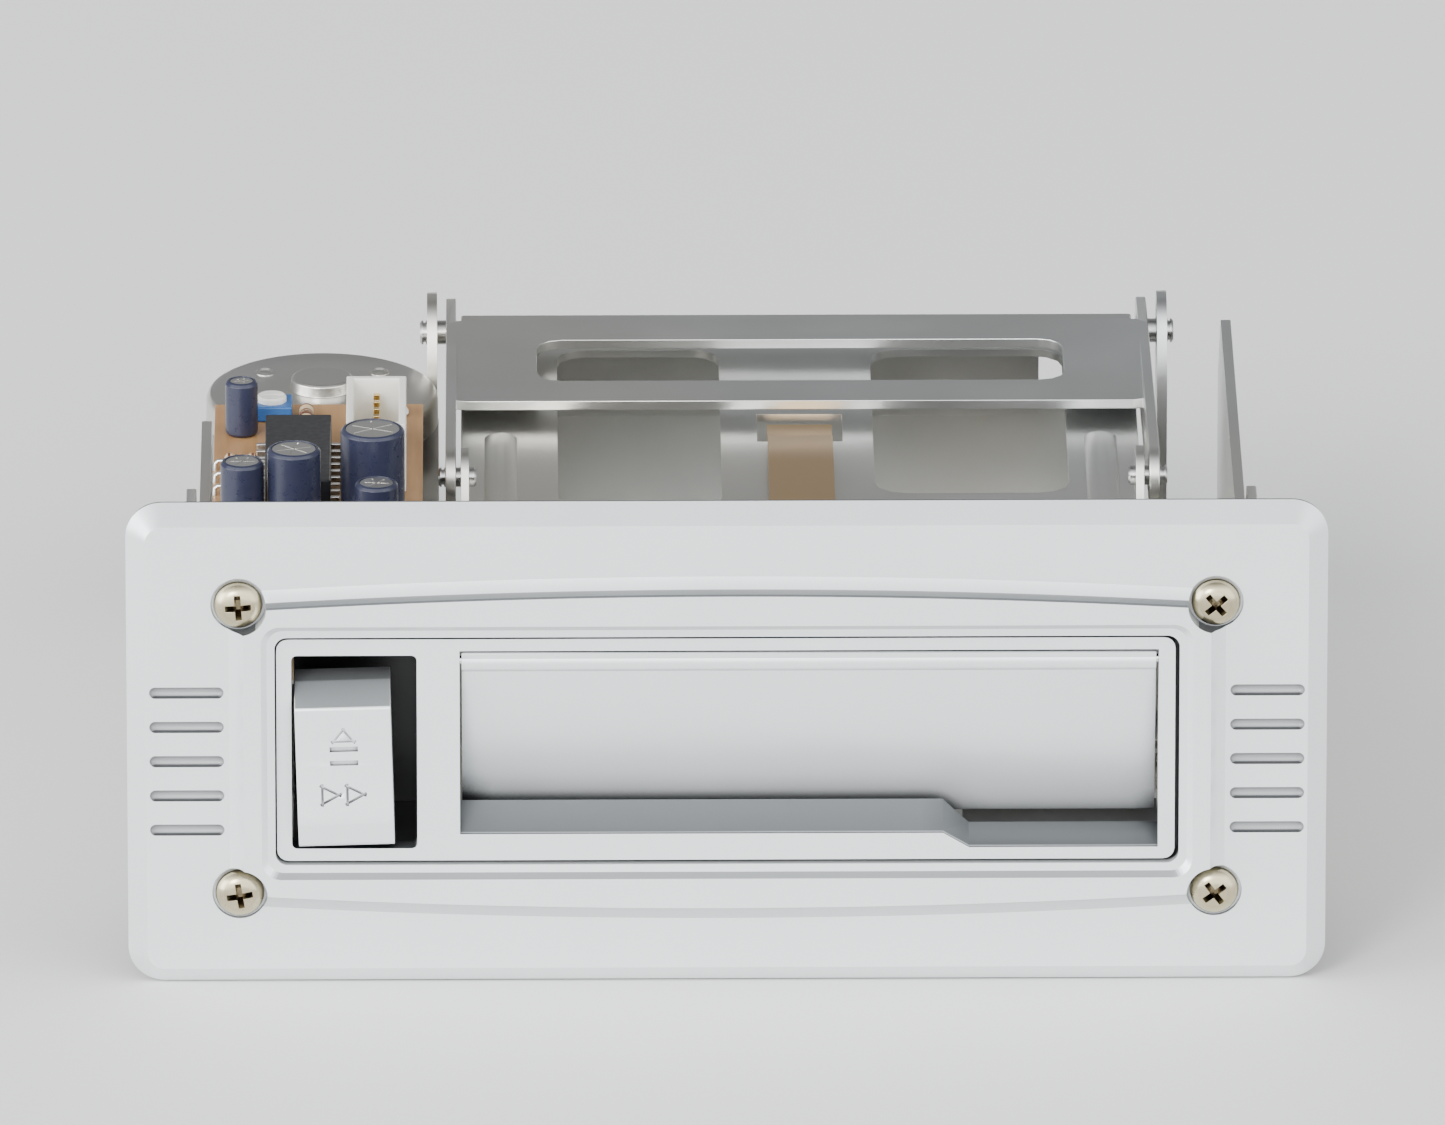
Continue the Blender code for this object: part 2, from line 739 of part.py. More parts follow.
def build_lift():
    arms = []
    for name, x in (("left_arm", -27.0), ("right_arm", 41.65)):
        outline = link_outline(LIFT_PIVOT, 3.4, HOLDER_PIN, 3.0)
        holes = [circle(LIFT_PIVOT, 1.45, 16), circle(HOLDER_PIN, 1.25, 16)]
        arms.append(plate(name, [outline, *holes], "YZ", x, x + 1.0, zinc, cutters))
    bridge = plate(
        "lift_arm",
        [rounded(-27.0, 42.65, 74.0, 98.0, 2.0, 3), rounded(-18.0, 34.0, 80.0, 92.0, 2.5, 3)],
        "XY",
        7.0,
        8.0,
        zinc,
    )
    tabs = [
        box("tab_left", (-27.0, 76.0, 4.0), (-26.0, 90.0, 8.0), zinc, cutters),
        box("tab_right", (41.65, 76.0, 4.0), (42.65, 90.0, 8.0), zinc, cutters),
    ]
    join(bridge, *tabs, *arms)
    for name, start, end in (("left", -29.6, -25.8), ("right", 41.4, 45.4)):
        rod(f"lift_pivot_pin_{name}", (start, *LIFT_PIVOT), (end, *LIFT_PIVOT), 1.2, steel, sides=16)


def build_holder():
    top = CASSETTE_FLOOR + (CASSETTE_THIN + CASSETTE_THICK) / 2 + 0.35
    left, right = -25.5, 41.15
    front, rear = 17.0, 106.5
    thick_floor = CASSETTE_FLOOR - (CASSETTE_THICK - CASSETTE_THIN) / 2
    step = 0.1  # joined plates are this much out of line, so that no two faces coincide
    high = top + 0.8
    holder = plate(
        "cassette_holder",
        [
            rectangle(left + step, right - step, front, rear - step),
            rounded(-16.0, 22.0, 24.0, 42.0, 3.0, 3),
            rounded(-16.0, 0.0, 50.0, 96.0, 3.0, 3),
            rounded(15.0, 34.0, 54.0, 96.0, 3.0, 3),
            rectangle(3.6, 12.0, 69.0, 77.0),
        ],
        "XY",
        top,
        high,
        zinc,
    )
    ear = [(46.0, top + step), (58.0, top + step), *arc(HOLDER_PIN, 3.0, 0, 180, 6)]
    side_top = high - step
    lip_low = thick_floor - 1.1
    lip_high = lip_low + 0.8
    pieces = [
        box("left_side", (left, front + step, -7.0), (left + 0.8, rear, side_top), zinc, cutters),
        box("left_lip", (left + step, front + 2 * step, -7.1), (-19.5, rear - step, -6.3), zinc, cutters),
        box("right_side", (right - 0.8, front + step, lip_low + step), (right, 35, side_top), zinc, cutters),
        box("right_lip", (35.0, front + 1, lip_low), (right - step, 34.8, lip_high), zinc, cutters),
        box("right_rear", (right - 0.8, 90.0, -4.0), (right, rear, side_top), zinc, cutters),
        box("stop", (-18.0, rear - 0.8, -5.0), (32.0, rear, side_top), zinc, cutters),
        plate("left_ear", [ear], "YZ", left, left + 0.8, zinc, cutters),
        plate("right_ear", [ear], "YZ", right - 0.8, right, zinc, cutters),
    ]
    join(holder, *pieces)
    y, z = HOLDER_PIN
    bore = rod("ear_bore", (left - 2, y, z), (right + 2, y, z), 1.2, zinc, cutters, 16)
    cut(holder, bore)
    rod("holder_pin_left", (left - 2.2, y, z), (left + 1.5, y, z), 0.95, steel, sides=16)
    rod("holder_pin_right", (right - 1.5, y, z), (right + 2.3, y, z), 0.95, steel, sides=16)
    leaf = [
        (42.0, high + 0.25),
        (60.0, high + 0.9),
        (68.0, high + 0.5),
        (73.0, top - 0.6),
        (76.0, top - 0.2),
        (75.9, top + 0.1),
        (73.1, top - 0.25),
        (68.4, high + 0.85),
        (60.0, high + 1.25),
        (42.0, high + 0.6),
    ]
    plate("cassette_press_spring", [leaf], "YZ", 4.6, 11.0, spring_steel)


# ---------------------------------------------------------------- drive


def build_motor():
    x, y = MOTOR
    low = DECK_TOP + GAP
    high = low + MOTOR_HEIGHT
    can = [
        (0.0, high + 1.2),
        (3.0, high + 1.2),
        (3.2, high),
        (MOTOR_RADIUS - 1.0, high),
        (MOTOR_RADIUS, high - 1.0),
        (MOTOR_RADIUS, low),
        (3.2, low),
        (3.2, low - 0.6),
        (1.5, low - 0.6),
        (1.5, low + 2.0),
        (0.0, low + 2.0),
    ]
    motor = turned("motor_can", can, MOTOR, steel, steps=28)
    for name, centre in (("left", x - MOTOR_SCREW_OFFSET), ("right", x + MOTOR_SCREW_OFFSET)):
        cut(motor, rod("tap_" + name, (centre, y, low - 1), (centre, y, low + 3), 1.25, steel, cutters, 12))
        head_top, head_bottom = (centre, y, DECK_BOTTOM - 0.15), (centre, y, DECK_BOTTOM - 1.15)
        screw = rod("motor_screw_" + name, head_top, head_bottom, 2.1, steel, sides=12, tip_radius=1.7)
        shank_bottom, shank_top = (centre, y, DECK_BOTTOM - 0.3), (centre, y, low + 2.5)
        join(screw, rod("motor_shank_" + name, shank_bottom, shank_top, 1.0, steel, cutters, 10))
    rod("motor_shaft", (x, y, -23.2), (x, y, low + 1.7), 1.0, steel, sides=16)
    pulley = [
        (1.2, -20.0),
        (4.8, -20.0),
        (4.8, -20.6),
        (MOTOR_GROOVE - 0.05, BELT_Z + 0.3),
        (MOTOR_GROOVE - 0.05, BELT_Z - 0.3),
        (4.8, -22.0),
        (4.8, -22.6),
        (1.2, -22.6),
    ]
    turned("motor_pulley", pulley, MOTOR, brass, steps=20, close=True)


def build_flywheel():
    rim = FLYWHEEL_RADIUS
    profile = [
        (1.2, -19.9),
        (3.4, -19.9),
        (3.4, -20.5),
        (17.5, -20.5),
        (17.5, -20.1),
        (rim, -20.1),
        (rim, BELT_Z + 0.75),
        (FLYWHEEL_GROOVE - 0.05, BELT_Z + 0.3),
        (FLYWHEEL_GROOVE - 0.05, BELT_Z - 0.3),
        (rim, BELT_Z - 0.75),
        (rim, -22.5),
        (17.5, -22.5),
        (17.5, -21.7),
        (3.0, -21.7),
        (3.0, -22.6),
        (1.2, -22.6),
    ]
    turned("flywheel", profile, CAPSTAN, steel, steps=36, close=True)
    rod("capstan_shaft", (*CAPSTAN, -23.1), (*CAPSTAN, -8.2), 1.0, bright_steel, sides=16)
    sleeve = [
        (1.15, -15.4),
        (2.5, -15.4),
        (2.5, -17.2),
        (3.15, -17.3),
        (3.15, -18.0),
        (2.65, -18.0),
        (2.65, -19.6),
        (1.15, -19.6),
    ]
    turned("capstan_bearing", sleeve, CAPSTAN, brass, steps=14, close=True)
    x = CAPSTAN[0]
    strap = [
        (52.0, -20.3),
        (52.0, -19.6),
        (56.3, -19.6),
        (56.3, -23.4),
        (105.0, -23.4),
        (105.0, -19.6),
        (109.4, -19.6),
        (109.4, -20.3),
        (105.9, -20.3),
        (105.9, -24.2),
        (55.4, -24.2),
        (55.4, -20.3),
    ]
    plate("flywheel_bracket", [strap], "YZ", x - 6.0, x + 6.0, zinc)


def tangent_belt(wheels, level):
    """The belt's line round wheels given anticlockwise as (x, y, radius)."""
    line = []
    count = len(wheels)
    ways = []
    for here in range(count):
        (x0, y0, r0), (x1, y1, r1) = wheels[here], wheels[(here + 1) % count]
        length = math.hypot(x1 - x0, y1 - y0)
        ways.append(math.atan2(y1 - y0, x1 - x0) - math.pi / 2 - math.asin((r1 - r0) / length))
    for here in range(count):
        x, y, radius = wheels[here]
        start, end = ways[here - 1], ways[here]
        end += 2 * math.pi * math.ceil((start - end) / (2 * math.pi))
        steps = max(2, round((end - start) * math.sqrt(radius) * 1.6))
        for step in range(steps + 1):
            angle = start + (end - start) * step / steps
            line.append((x + radius * math.cos(angle), y + radius * math.sin(angle), level))
    return line


def build_belt():
    grow = BELT_RADIUS + 0.1
    wheels = [
        (*MOTOR, MOTOR_GROOVE + grow),
        (*REEL_DRIVE, DRIVE_GROOVE + grow),
        (*CAPSTAN, FLYWHEEL_GROOVE + grow),
    ]
    wire("drive_belt", tangent_belt(wheels, BELT_Z), BELT_RADIUS, rubber, closed=True, resolution=1)


def build_reel_drive():
    groove = DRIVE_GROOVE - 0.05
    wheel = [
        (0.0, -16.0),
        (1.2, -16.0),
        (1.5, -16.3),
        (1.5, -20.0),
        (12.0, -20.0),
        (12.0, -20.5),
        (groove, BELT_Z + 0.3),
        (groove, BELT_Z - 0.3),
        (12.0, -22.1),
        (12.0, -22.6),
        (0.0, -22.6),
    ]
    turned("reel_drive_pulley", wheel, REEL_DRIVE, white_nylon, steps=28)
    sleeve = [(1.75, -18.15), (2.65, -18.15), (2.65, -19.7), (1.75, -19.7)]
    turned("reel_drive_bearing", sleeve, REEL_DRIVE, brass, steps=16, close=True)
    teeth = at(gear_outline(PINION_TEETH, GEAR_MODULE, 0.0), REEL_DRIVE)
    plate(
        "reel_drive_pinion", [teeth, circle(REEL_DRIVE, 1.65, 16)], "XY", -17.9, -16.4, white_nylon
    )


def build_reels():
    for name, centre, base, bottom in (("supply", SUPPLY, 10.2, -17.9), ("take_up", TAKE_UP, 8.0, -16.6)):
        profile = [
            (0.0, -8.3),
            (0.9, -8.3),
            (2.6, -10.4),
            (2.6, -15.9),
            (base, -15.9),
            (base, -16.3),
            (base, bottom),
            (1.25, bottom),
            (1.25, -11.6),
            (0.0, -11.6),
        ]
        reel = turned(name + "_reel", profile, centre, white_nylon, steps=28)
        ribs = []
        for rib in range(3):
            angle = math.radians(90 + 120 * rib)
            out = Vector((math.cos(angle), math.sin(angle), 0))
            across = Vector((-out.y, out.x, 0)) * 0.45
            sections = []
            for reach, height in ((3.9, -15.7), (3.9, -11.6), (2.6, -10.2)):
                near = Vector((*centre, height)) + out * 2.0
                far = Vector((*centre, height)) + out * reach
                sections.append([near + across, far + across, far - across, near - across])
            ribs.append(loft(f"{name}_rib_{rib}", sections, white_nylon, cutters))
        join(reel, *ribs)
        rod(f"{name}_reel_post", (*centre, DECK_BOTTOM - 0.3), (*centre, -12.2), 1.0, steel, sides=12)
    gear = gear_outline(REEL_TEETH, GEAR_MODULE, math.pi / REEL_TEETH)
    plate(
        "take_up_gear",
        [at(gear, TAKE_UP), circle(TAKE_UP, 1.6, 16)],
        "XY",
        -17.9,
        -16.8,
        white_nylon,
    )


# ---------------------------------------------------------------- head, pinch roller and electrics


def build_head():
    slots = [link_outline((x - 0.8, y), 1.15, (x + 7.6, y), 1.15, 6) for x, y in HEAD_STUDS]
    plate(
        "head_plate",
        [rounded(37.8, 49.7, 42.0, 73.0, 1.0, 2), *slots],
        "XY",
        DECK_TOP + 0.3,
        DECK_TOP + 1.1,
        zinc,
    )
    mid = CASSETTE_MID_Y
    base_low = DECK_TOP + 1.4
    base = rounded(HEAD_FACE_X + 3.4, HEAD_FACE_X + 8.4, mid - 8.6, mid + 8.6, 1.5, 3)
    plate("head_bracket", [base], "XY", base_low, base_low + 0.8, brass)
    height, half = 5.2, 6.0
    nose = [
        (HEAD_FACE_X + 8.2, mid + half),
        (HEAD_FACE_X + 2.4, mid + half),
        (HEAD_FACE_X + 0.5, mid + 3.4),
        (HEAD_FACE_X, mid + 1.4),
        (HEAD_FACE_X, mid - 1.4),
        (HEAD_FACE_X + 0.5, mid - 3.4),
        (HEAD_FACE_X + 2.4, mid - half),
        (HEAD_FACE_X + 8.2, mid - half),
    ]
    plate("tape_head", [nose], "XY", base_low + 1.0, TAPE_Z + height, bright_steel)
    x = HEAD_FACE_X + 5.9
    for name, y in (("front", mid - 7.3), ("rear", mid + 7.3)):
        rod(f"head_screw_{name}", (x, y, base_low + 0.95), (x, y, base_low + 2.3), 1.15, steel, sides=12)


def build_pinch():
    low = DECK_TOP + 0.35
    outline = link_outline(PINCH_PIVOT, 3.0, PINCH_ROLLER, 2.3)
    arm = plate("pinch_arm", [outline, circle(PINCH_PIVOT, 1.35, 16)], "XY", low, low + 0.9, zinc)
    axle = rod("pinch_axle", (*PINCH_ROLLER, low + 0.5), (*PINCH_ROLLER, -6.8), 0.75, zinc, cutters, 12)
    join(arm, axle)
    roller = [
        (0.95, -7.4),
        (2.0, -7.4),
        (2.2, -7.8),
        (PINCH_RADIUS - 0.3, -7.8),
        (PINCH_RADIUS, -8.1),
        (PINCH_RADIUS, -13.6),
        (PINCH_RADIUS - 0.3, -13.9),
        (2.2, -13.9),
        (2.0, -14.3),
        (0.95, -14.3),
    ]
    turned("pinch_roller", roller, PINCH_ROLLER, rubber, steps=20, close=True)
    x, y = PINCH_PIVOT
    radius, turns, across = 1.75, 3, 8
    coil = [
        (
            x + radius * math.cos(2 * math.pi * step / across),
            y + radius * math.sin(2 * math.pi * step / across),
            -16.5 + 1.2 * step / (turns * across),
        )
        for step in range(turns * across + 1)
    ]
    front_leg, rear_leg = (x + radius, y - 6.0, -16.6), (x + radius, y + 6.0, -15.3)
    wire("pinch_spring", [front_leg, *coil, rear_leg], 0.2, steel, resolution=0)


def build_electrics():
    board_low = 9.0
    left, right, front, rear = -49.6, -29.2, 20.0, 66.0
    corners = ((left + 3.0, front + 3.0), (left + 3.0, rear - 3.0), (right - 3.0, rear - 3.0))
    plate(
        "circuit_board",
        [rectangle(left, right, front, rear), *(circle(c, 1.3, 10) for c in corners)],
        "XY",
        board_low,
        board_low + 1.6,
        phenolic,
    )
    for name, (x, y) in zip(("front", "rear", "inner"), corners):
        pillar = rod(
            f"board_pillar_{name}", (x, y, DECK_TOP + 0.2), (x, y, board_low - 0.2), 2.3, white_nylon, sides=6
        )
        neck = rod(f"neck_{name}", (x, y, 7.0), (x, y, board_low + 2.3), 0.95, white_nylon, cutters, 10)
        snap_low, snap_high = (x, y, board_low + 1.8), (x, y, board_low + 3.6)
        snap = rod(f"snap_{name}", snap_low, snap_high, 1.7, white_nylon, cutters, 10, 0.7)
        join(pillar, neck, snap)
    top = board_low + 1.8
    box("preamp_chip", (-44.5, 34.0, top), (-38.1, 53.0, top + 3.4), black_plastic)
    socket = box("board_socket", (-36.6, 40.0, top), (-30.8, 54.0, top + 7.0), white_nylon)
    cut(socket, box("socket_well", (-35.9, 40.8, top + 1.2), (-31.5, 53.2, top + 8.0), white_nylon, cutters))
    box("motor_switch", (-49.6, 66.0, DECK_TOP + 0.2), (-43.0, 78.0, -12.2), black_plastic)
    leaf = [(-42.7, 68.0), (-42.7, 76.0), (-37.5, 80.0), (-37.5, 79.6), (-42.4, 75.6), (-42.4, 68.0)]
    plate("switch_leaf", [leaf], "XY", -16.6, -13.6, spring_steel)


# ---------------------------------------------------------------- joints


def hang(name, place, *names, on=None):
    """An empty on a joint's axis, with the pieces that it moves, and their cutters, as its children."""
    axis = bpy.data.objects.new(name, None)
    parts.objects.link(axis)
    axis.empty_display_size = 5 * MM
    axis.location = Vector(place) * MM
    if on is not None:
        axis.parent = on
        axis.matrix_parent_inverse = Matrix.Translation(on.location).inverted()
    for piece in [parts.objects[member] for member in names]:
        booleans = [step.object for step in piece.modifiers if step.type == "BOOLEAN"]
        for child in (piece, *booleans):
            child.parent = axis
            child.matrix_parent_inverse = Matrix.Translation(axis.location).inverted()
    return axis


def build_joints():
    hang("door_hinge", (0.0, *DOOR_AXIS), "cassette_door")
    hang("eject_press", (-36.3, 0.0, -2.0), "eject_button", "eject_slide")
    lift = hang("lift_hinge", (0.0, *LIFT_PIVOT), "lift_arm")
    pins = ("holder_pin_left", "holder_pin_right")
    hang("holder_level", (0.0, *HOLDER_PIN), "cassette_holder", "cassette_press_spring", *pins, on=lift)
    head_pieces = ("head_bracket", "tape_head", "head_screw_front", "head_screw_rear")
    hang("head_slide", (HEAD_FACE_X, CASSETTE_MID_Y, DECK_TOP), "head_plate", *head_pieces)
    pinch = hang("pinch_swing", (*PINCH_PIVOT, DECK_TOP), "pinch_arm")
    hang("pinch_roller_spin", (*PINCH_ROLLER, DECK_TOP), "pinch_roller", on=pinch)
    hang("flywheel_spin", (*CAPSTAN, BELT_Z), "flywheel", "capstan_shaft")
    hang("motor_spin", (*MOTOR, BELT_Z), "motor_shaft", "motor_pulley")
    hang("reel_drive_spin", (*REEL_DRIVE, BELT_Z), "reel_drive_pulley", "reel_drive_pinion")
    hang("take_up_spin", (*TAKE_UP, DECK_TOP), "take_up_reel", "take_up_gear")
    hang("supply_spin", (*SUPPLY, DECK_TOP), "supply_reel")


clear_scene()
parts = new_collection("cassette_deck")
cutters = new_collection("cutters")

silver_paint = make_material("silver_paint", (0.68, 0.70, 0.71), 0.36, 0.35)
zinc = make_material("zinc_plated_steel", (0.66, 0.67, 0.64), 0.35, 1.0)
steel = make_material("steel", (0.50, 0.49, 0.46), 0.35, 1.0)
bright_steel = make_material("polished_steel", (0.72, 0.72, 0.72), 0.12, 1.0)
spring_steel = make_material("spring_bronze", (0.62, 0.47, 0.26), 0.3, 1.0)
brass = make_material("brass", (0.72, 0.55, 0.26), 0.3, 1.0)
rubber = make_material("rubber", (0.03, 0.03, 0.03), 0.8, 0.0)
white_nylon = make_material("white_nylon", (0.82, 0.80, 0.74), 0.45, 0.0)
black_plastic = make_material("black_plastic", (0.03, 0.03, 0.035), 0.45, 0.0)
phenolic = make_material("phenolic_board", (0.42, 0.25, 0.11), 0.5, 0.0)

build_bezel()
build_bezel_screws()
build_slot_frame()
build_door()
build_button()
build_eject_slide()
build_chassis()
build_brackets()
build_lift()
build_holder()
build_motor()
build_flywheel()
build_belt()
build_reel_drive()
build_reels()
build_head()
build_pinch()
build_electrics()
build_joints()
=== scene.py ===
"""Looks of the cassette deck module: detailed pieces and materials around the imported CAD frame.

The builders below work in millimetres, and make_object turns their meshes into metres.
"""

from math import asin, atan2, ceil, cos, degrees, hypot, pi, radians, sin, tau

import json

import bmesh
import bpy
from mathutils import Matrix, Vector


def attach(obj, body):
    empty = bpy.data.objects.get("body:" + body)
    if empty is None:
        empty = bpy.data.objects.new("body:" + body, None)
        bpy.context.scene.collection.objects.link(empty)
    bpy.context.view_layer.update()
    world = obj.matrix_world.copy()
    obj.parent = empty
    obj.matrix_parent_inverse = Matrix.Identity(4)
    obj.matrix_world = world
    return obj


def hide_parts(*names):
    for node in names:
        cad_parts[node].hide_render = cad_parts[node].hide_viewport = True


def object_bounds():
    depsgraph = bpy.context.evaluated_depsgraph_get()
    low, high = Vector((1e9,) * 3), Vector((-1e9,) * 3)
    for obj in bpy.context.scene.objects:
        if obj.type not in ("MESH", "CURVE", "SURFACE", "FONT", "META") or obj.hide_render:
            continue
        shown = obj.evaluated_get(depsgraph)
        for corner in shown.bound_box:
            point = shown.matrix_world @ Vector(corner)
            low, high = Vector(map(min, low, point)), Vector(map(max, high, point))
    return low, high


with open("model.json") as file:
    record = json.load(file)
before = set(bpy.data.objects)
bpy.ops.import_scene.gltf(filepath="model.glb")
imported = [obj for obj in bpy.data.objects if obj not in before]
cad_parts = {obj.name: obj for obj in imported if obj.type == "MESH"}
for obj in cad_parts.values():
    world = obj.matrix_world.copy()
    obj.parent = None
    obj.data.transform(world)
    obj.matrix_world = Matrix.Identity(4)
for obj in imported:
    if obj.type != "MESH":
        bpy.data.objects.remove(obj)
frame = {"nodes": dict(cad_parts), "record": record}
CAD_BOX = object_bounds()
MM = 0.001

# Sizes and places of the CAD that the looks follow
FACE = -2.4
LENS_FRONT = -3.9
SCREW_X, SCREW_Z = 46.75, 14.7
SCREWS = {  # side, level and turn in degrees
    "top_left": (-1, 1, 4),
    "top_right": (1, 1, 41),
    "bottom_left": (-1, -1, 9),
    "bottom_right": (1, -1, 37),
}
POCKET_X, POCKET_Z = 43.3, 11.6
DOOR_AXIS = (-1.5, 8.7)
MOTOR = (-39.3, 95.0, 0.0)
CAPSTAN = (26.85, 80.7, 0.0)
REEL_DRIVE = (-8.95, 76.45, 0.0)
SUPPLY, TAKE_UP = (5.65, 33.95, 0.0), (5.65, 76.45, 0.0)
ROLLER = (44.85, 80.7, 0.0)
PINCH_PIVOT = (38.85, 97.5)
HEAD_MID_Y = 55.2
BELT_Z, BELT_RADIUS, BELT_PLAY = -21.3, 0.45, 0.1
BOARD_TOP, BOARD_BOTTOM = 10.6, 9.0


# ---- camera, lights and floor

TARGET = ((CAD_BOX[0][0] + CAD_BOX[1][0]) / 2, 0.048, 0.0005)
VIEW_AZIMUTH = radians(-0.5)
VIEW_ELEVATION = radians(20.0)
VIEW_DISTANCE = 2.6
VIEW_LENS = 664.0
SENSOR_WIDTH = 36.0
FLOOR_SIZE = 3.0
FLOOR_GAP = 0.0002
DOME_LIGHT = 3.7
DOME_COLOUR = (0.97, 0.985, 1.0)
LIGHTS = (
    ("key", (-0.55, -1.15, 0.70), (0.45, 0.45), 13.0, (1.0, 0.985, 0.96)),
    ("left_side", (-1.3, -0.35, 0.35), (0.9, 0.8), 13.0, (0.97, 0.985, 1.0)),
)


def new_object(name, data):
    thing = bpy.data.objects.new(name, data)
    bpy.context.scene.collection.objects.link(thing)
    return thing


def add_aimed(name, data, place):
    """A camera or a light that looks at the target."""
    thing = new_object(name, data)
    thing.location = place
    way = Vector(TARGET) - thing.location
    thing.rotation_euler = way.to_track_quat("-Z", "Y").to_euler()
    return thing


def add_camera():
    data = bpy.data.cameras.new("camera")
    data.lens = VIEW_LENS
    data.sensor_width = SENSOR_WIDTH
    data.clip_start = 0.05
    flat = cos(VIEW_ELEVATION)
    way = Vector((sin(VIEW_AZIMUTH) * flat, -cos(VIEW_AZIMUTH) * flat, sin(VIEW_ELEVATION)))
    bpy.context.scene.camera = add_aimed("camera", data, Vector(TARGET) + way * VIEW_DISTANCE)


def add_lights():
    for name, place, size, watts, colour in LIGHTS:
        data = bpy.data.lights.new(name, "AREA")
        data.shape = "RECTANGLE"
        data.size, data.size_y = size
        data.energy = watts
        data.color = colour
        add_aimed(name, data, place)


def add_floor():
    bm = bmesh.new()
    bmesh.ops.create_grid(bm, x_segments=2, y_segments=2, size=FLOOR_SIZE)
    mesh = bpy.data.meshes.new("floor")
    bm.to_mesh(mesh)
    bm.free()
    floor = new_object("floor", mesh)
    floor.location.z = CAD_BOX[0][2] - FLOOR_GAP
    mesh.materials.append(new_material("floor_paper", (0.80, 0.80, 0.79), 0.75, 0.0)[0])


def add_dome():
    """A pale sky that is darker overhead and behind the module, which gives the silver its gradients."""
    world = bpy.data.worlds.new("studio")
    bpy.context.scene.world = world
    world.use_nodes = True
    nodes = Nodes(world.node_tree)
    background = world.node_tree.nodes["Background"]
    background.inputs["Strength"].default_value = DOME_LIGHT
    _, y, z = nodes.parts("ShaderNodeTexCoord", "Generated")
    level = nodes.multiply(nodes.spread(y, 1.0, 0.10, -0.30, 0.20), nodes.spread(z, 1.0, 0.22, 0.60, 0.98))
    nodes.link(nodes.ramp(level, (0.0, 0.0, 0.0), DOME_COLOUR), background.inputs["Color"])


# ---- material building blocks


class Nodes:
    """Short names for the node types that the materials use."""

    def __init__(self, tree):
        self.tree = tree
        self.shader = tree.nodes.get("Principled BSDF")

    def add(self, kind, **settings):
        node = self.tree.nodes.new(kind)
        for key, value in settings.items():
            setattr(node, key, value)
        return node

    def link(self, source, target):
        self.tree.links.new(source, target)

    def parts(self, kind, output):
        """X, Y and Z of one output of a coordinate node."""
        split = self.add("ShaderNodeSeparateXYZ")
        self.link(self.add(kind).outputs[output], split.inputs["Vector"])
        return split.outputs

    def where(self):
        return self.parts("ShaderNodeTexCoord", "Object")

    def upward(self):
        """How far a face looks up, from -1 to 1."""
        return self.parts("ShaderNodeNewGeometry", "True Normal")["Z"]

    def noise(self, scale, detail=3.0, stretch=(1.0, 1.0, 1.0)):
        """Noise in the object's coordinates, stretched for grain that runs one way."""
        mapping = self.add("ShaderNodeMapping")
        mapping.inputs["Scale"].default_value = stretch
        self.link(self.add("ShaderNodeTexCoord").outputs["Object"], mapping.inputs["Vector"])
        node = self.add("ShaderNodeTexNoise")
        node.inputs["Scale"].default_value = scale
        node.inputs["Detail"].default_value = detail
        node.inputs["Roughness"].default_value = 0.55
        self.link(mapping.outputs["Vector"], node.inputs["Vector"])
        return node.outputs["Fac"]

    def cells(self, scale):
        node = self.add("ShaderNodeTexVoronoi")
        node.inputs["Scale"].default_value = scale
        self.link(self.add("ShaderNodeTexCoord").outputs["Object"], node.inputs["Vector"])
        return node.outputs["Distance"]

    def ramp(self, source, low, high, start=0.0, end=1.0):
        """Maps a value between two numbers onto two colours."""
        node = self.add("ShaderNodeValToRGB")
        for element, position, colour in zip(node.color_ramp.elements, (start, end), (low, high)):
            element.position = position
            element.color = (*colour, 1.0)
        self.link(source, node.inputs["Fac"])
        return node.outputs["Color"]

    def spread(self, source, low, high, start, end):
        """Maps a value between two numbers onto two others."""
        node = self.add("ShaderNodeMapRange")
        for key, value in (("From Min", start), ("From Max", end), ("To Min", low), ("To Max", high)):
            node.inputs[key].default_value = value
        self.link(source, node.inputs["Value"])
        return node.outputs["Result"]

    def past(self, source, start, end):
        """0 up to start and 1 from end on, both in millimetres."""
        return self.spread(source, 0.0, 1.0, start * MM, end * MM)

    def before(self, source, start, end):
        """1 up to start and 0 from end on, both in millimetres."""
        return self.spread(source, 1.0, 0.0, start * MM, end * MM)

    def bump(self, source, strength, distance, below=None):
        """A bump whose distance is in millimetres."""
        node = self.add("ShaderNodeBump")
        node.inputs["Strength"].default_value = strength
        node.inputs["Distance"].default_value = distance * MM
        self.link(source, node.inputs["Height"])
        if below is not None:
            self.link(below, node.inputs["Normal"])
        return node.outputs["Normal"]

    def fill(self, socket, value):
        """Links a socket, or sets it where the value is a number or a colour."""
        if isinstance(value, float):
            socket.default_value = value
        elif isinstance(value, tuple):
            socket.default_value = (*value, 1.0)
        else:
            self.link(value, socket)

    def mix(self, factor, first, second, blend_type="MIX"):
        node = self.add("ShaderNodeMix", data_type="RGBA", blend_type=blend_type)
        for key, value in (("Factor", factor), ("A", first), ("B", second)):
            self.fill(node.inputs[key], value)
        return node.outputs["Result"]

    def math(self, operation, *values):
        node = self.add("ShaderNodeMath", operation=operation)
        for socket, value in zip(node.inputs, values):
            self.fill(socket, value)
        return node.outputs["Value"]

    def multiply(self, first, *others):
        for other in others:
            first = self.math("MULTIPLY", first, other)
        return first

    def most(self, first, *others):
        for other in others:
            first = self.math("MAXIMUM", first, other)
        return first

    def colour(self, source):
        self.link(source, self.shader.inputs["Base Color"])

    def roughness(self, source, low, high):
        self.link(self.spread(source, low, high, 0.3, 0.7), self.shader.inputs["Roughness"])

    def normal(self, source):
        self.link(source, self.shader.inputs["Normal"])


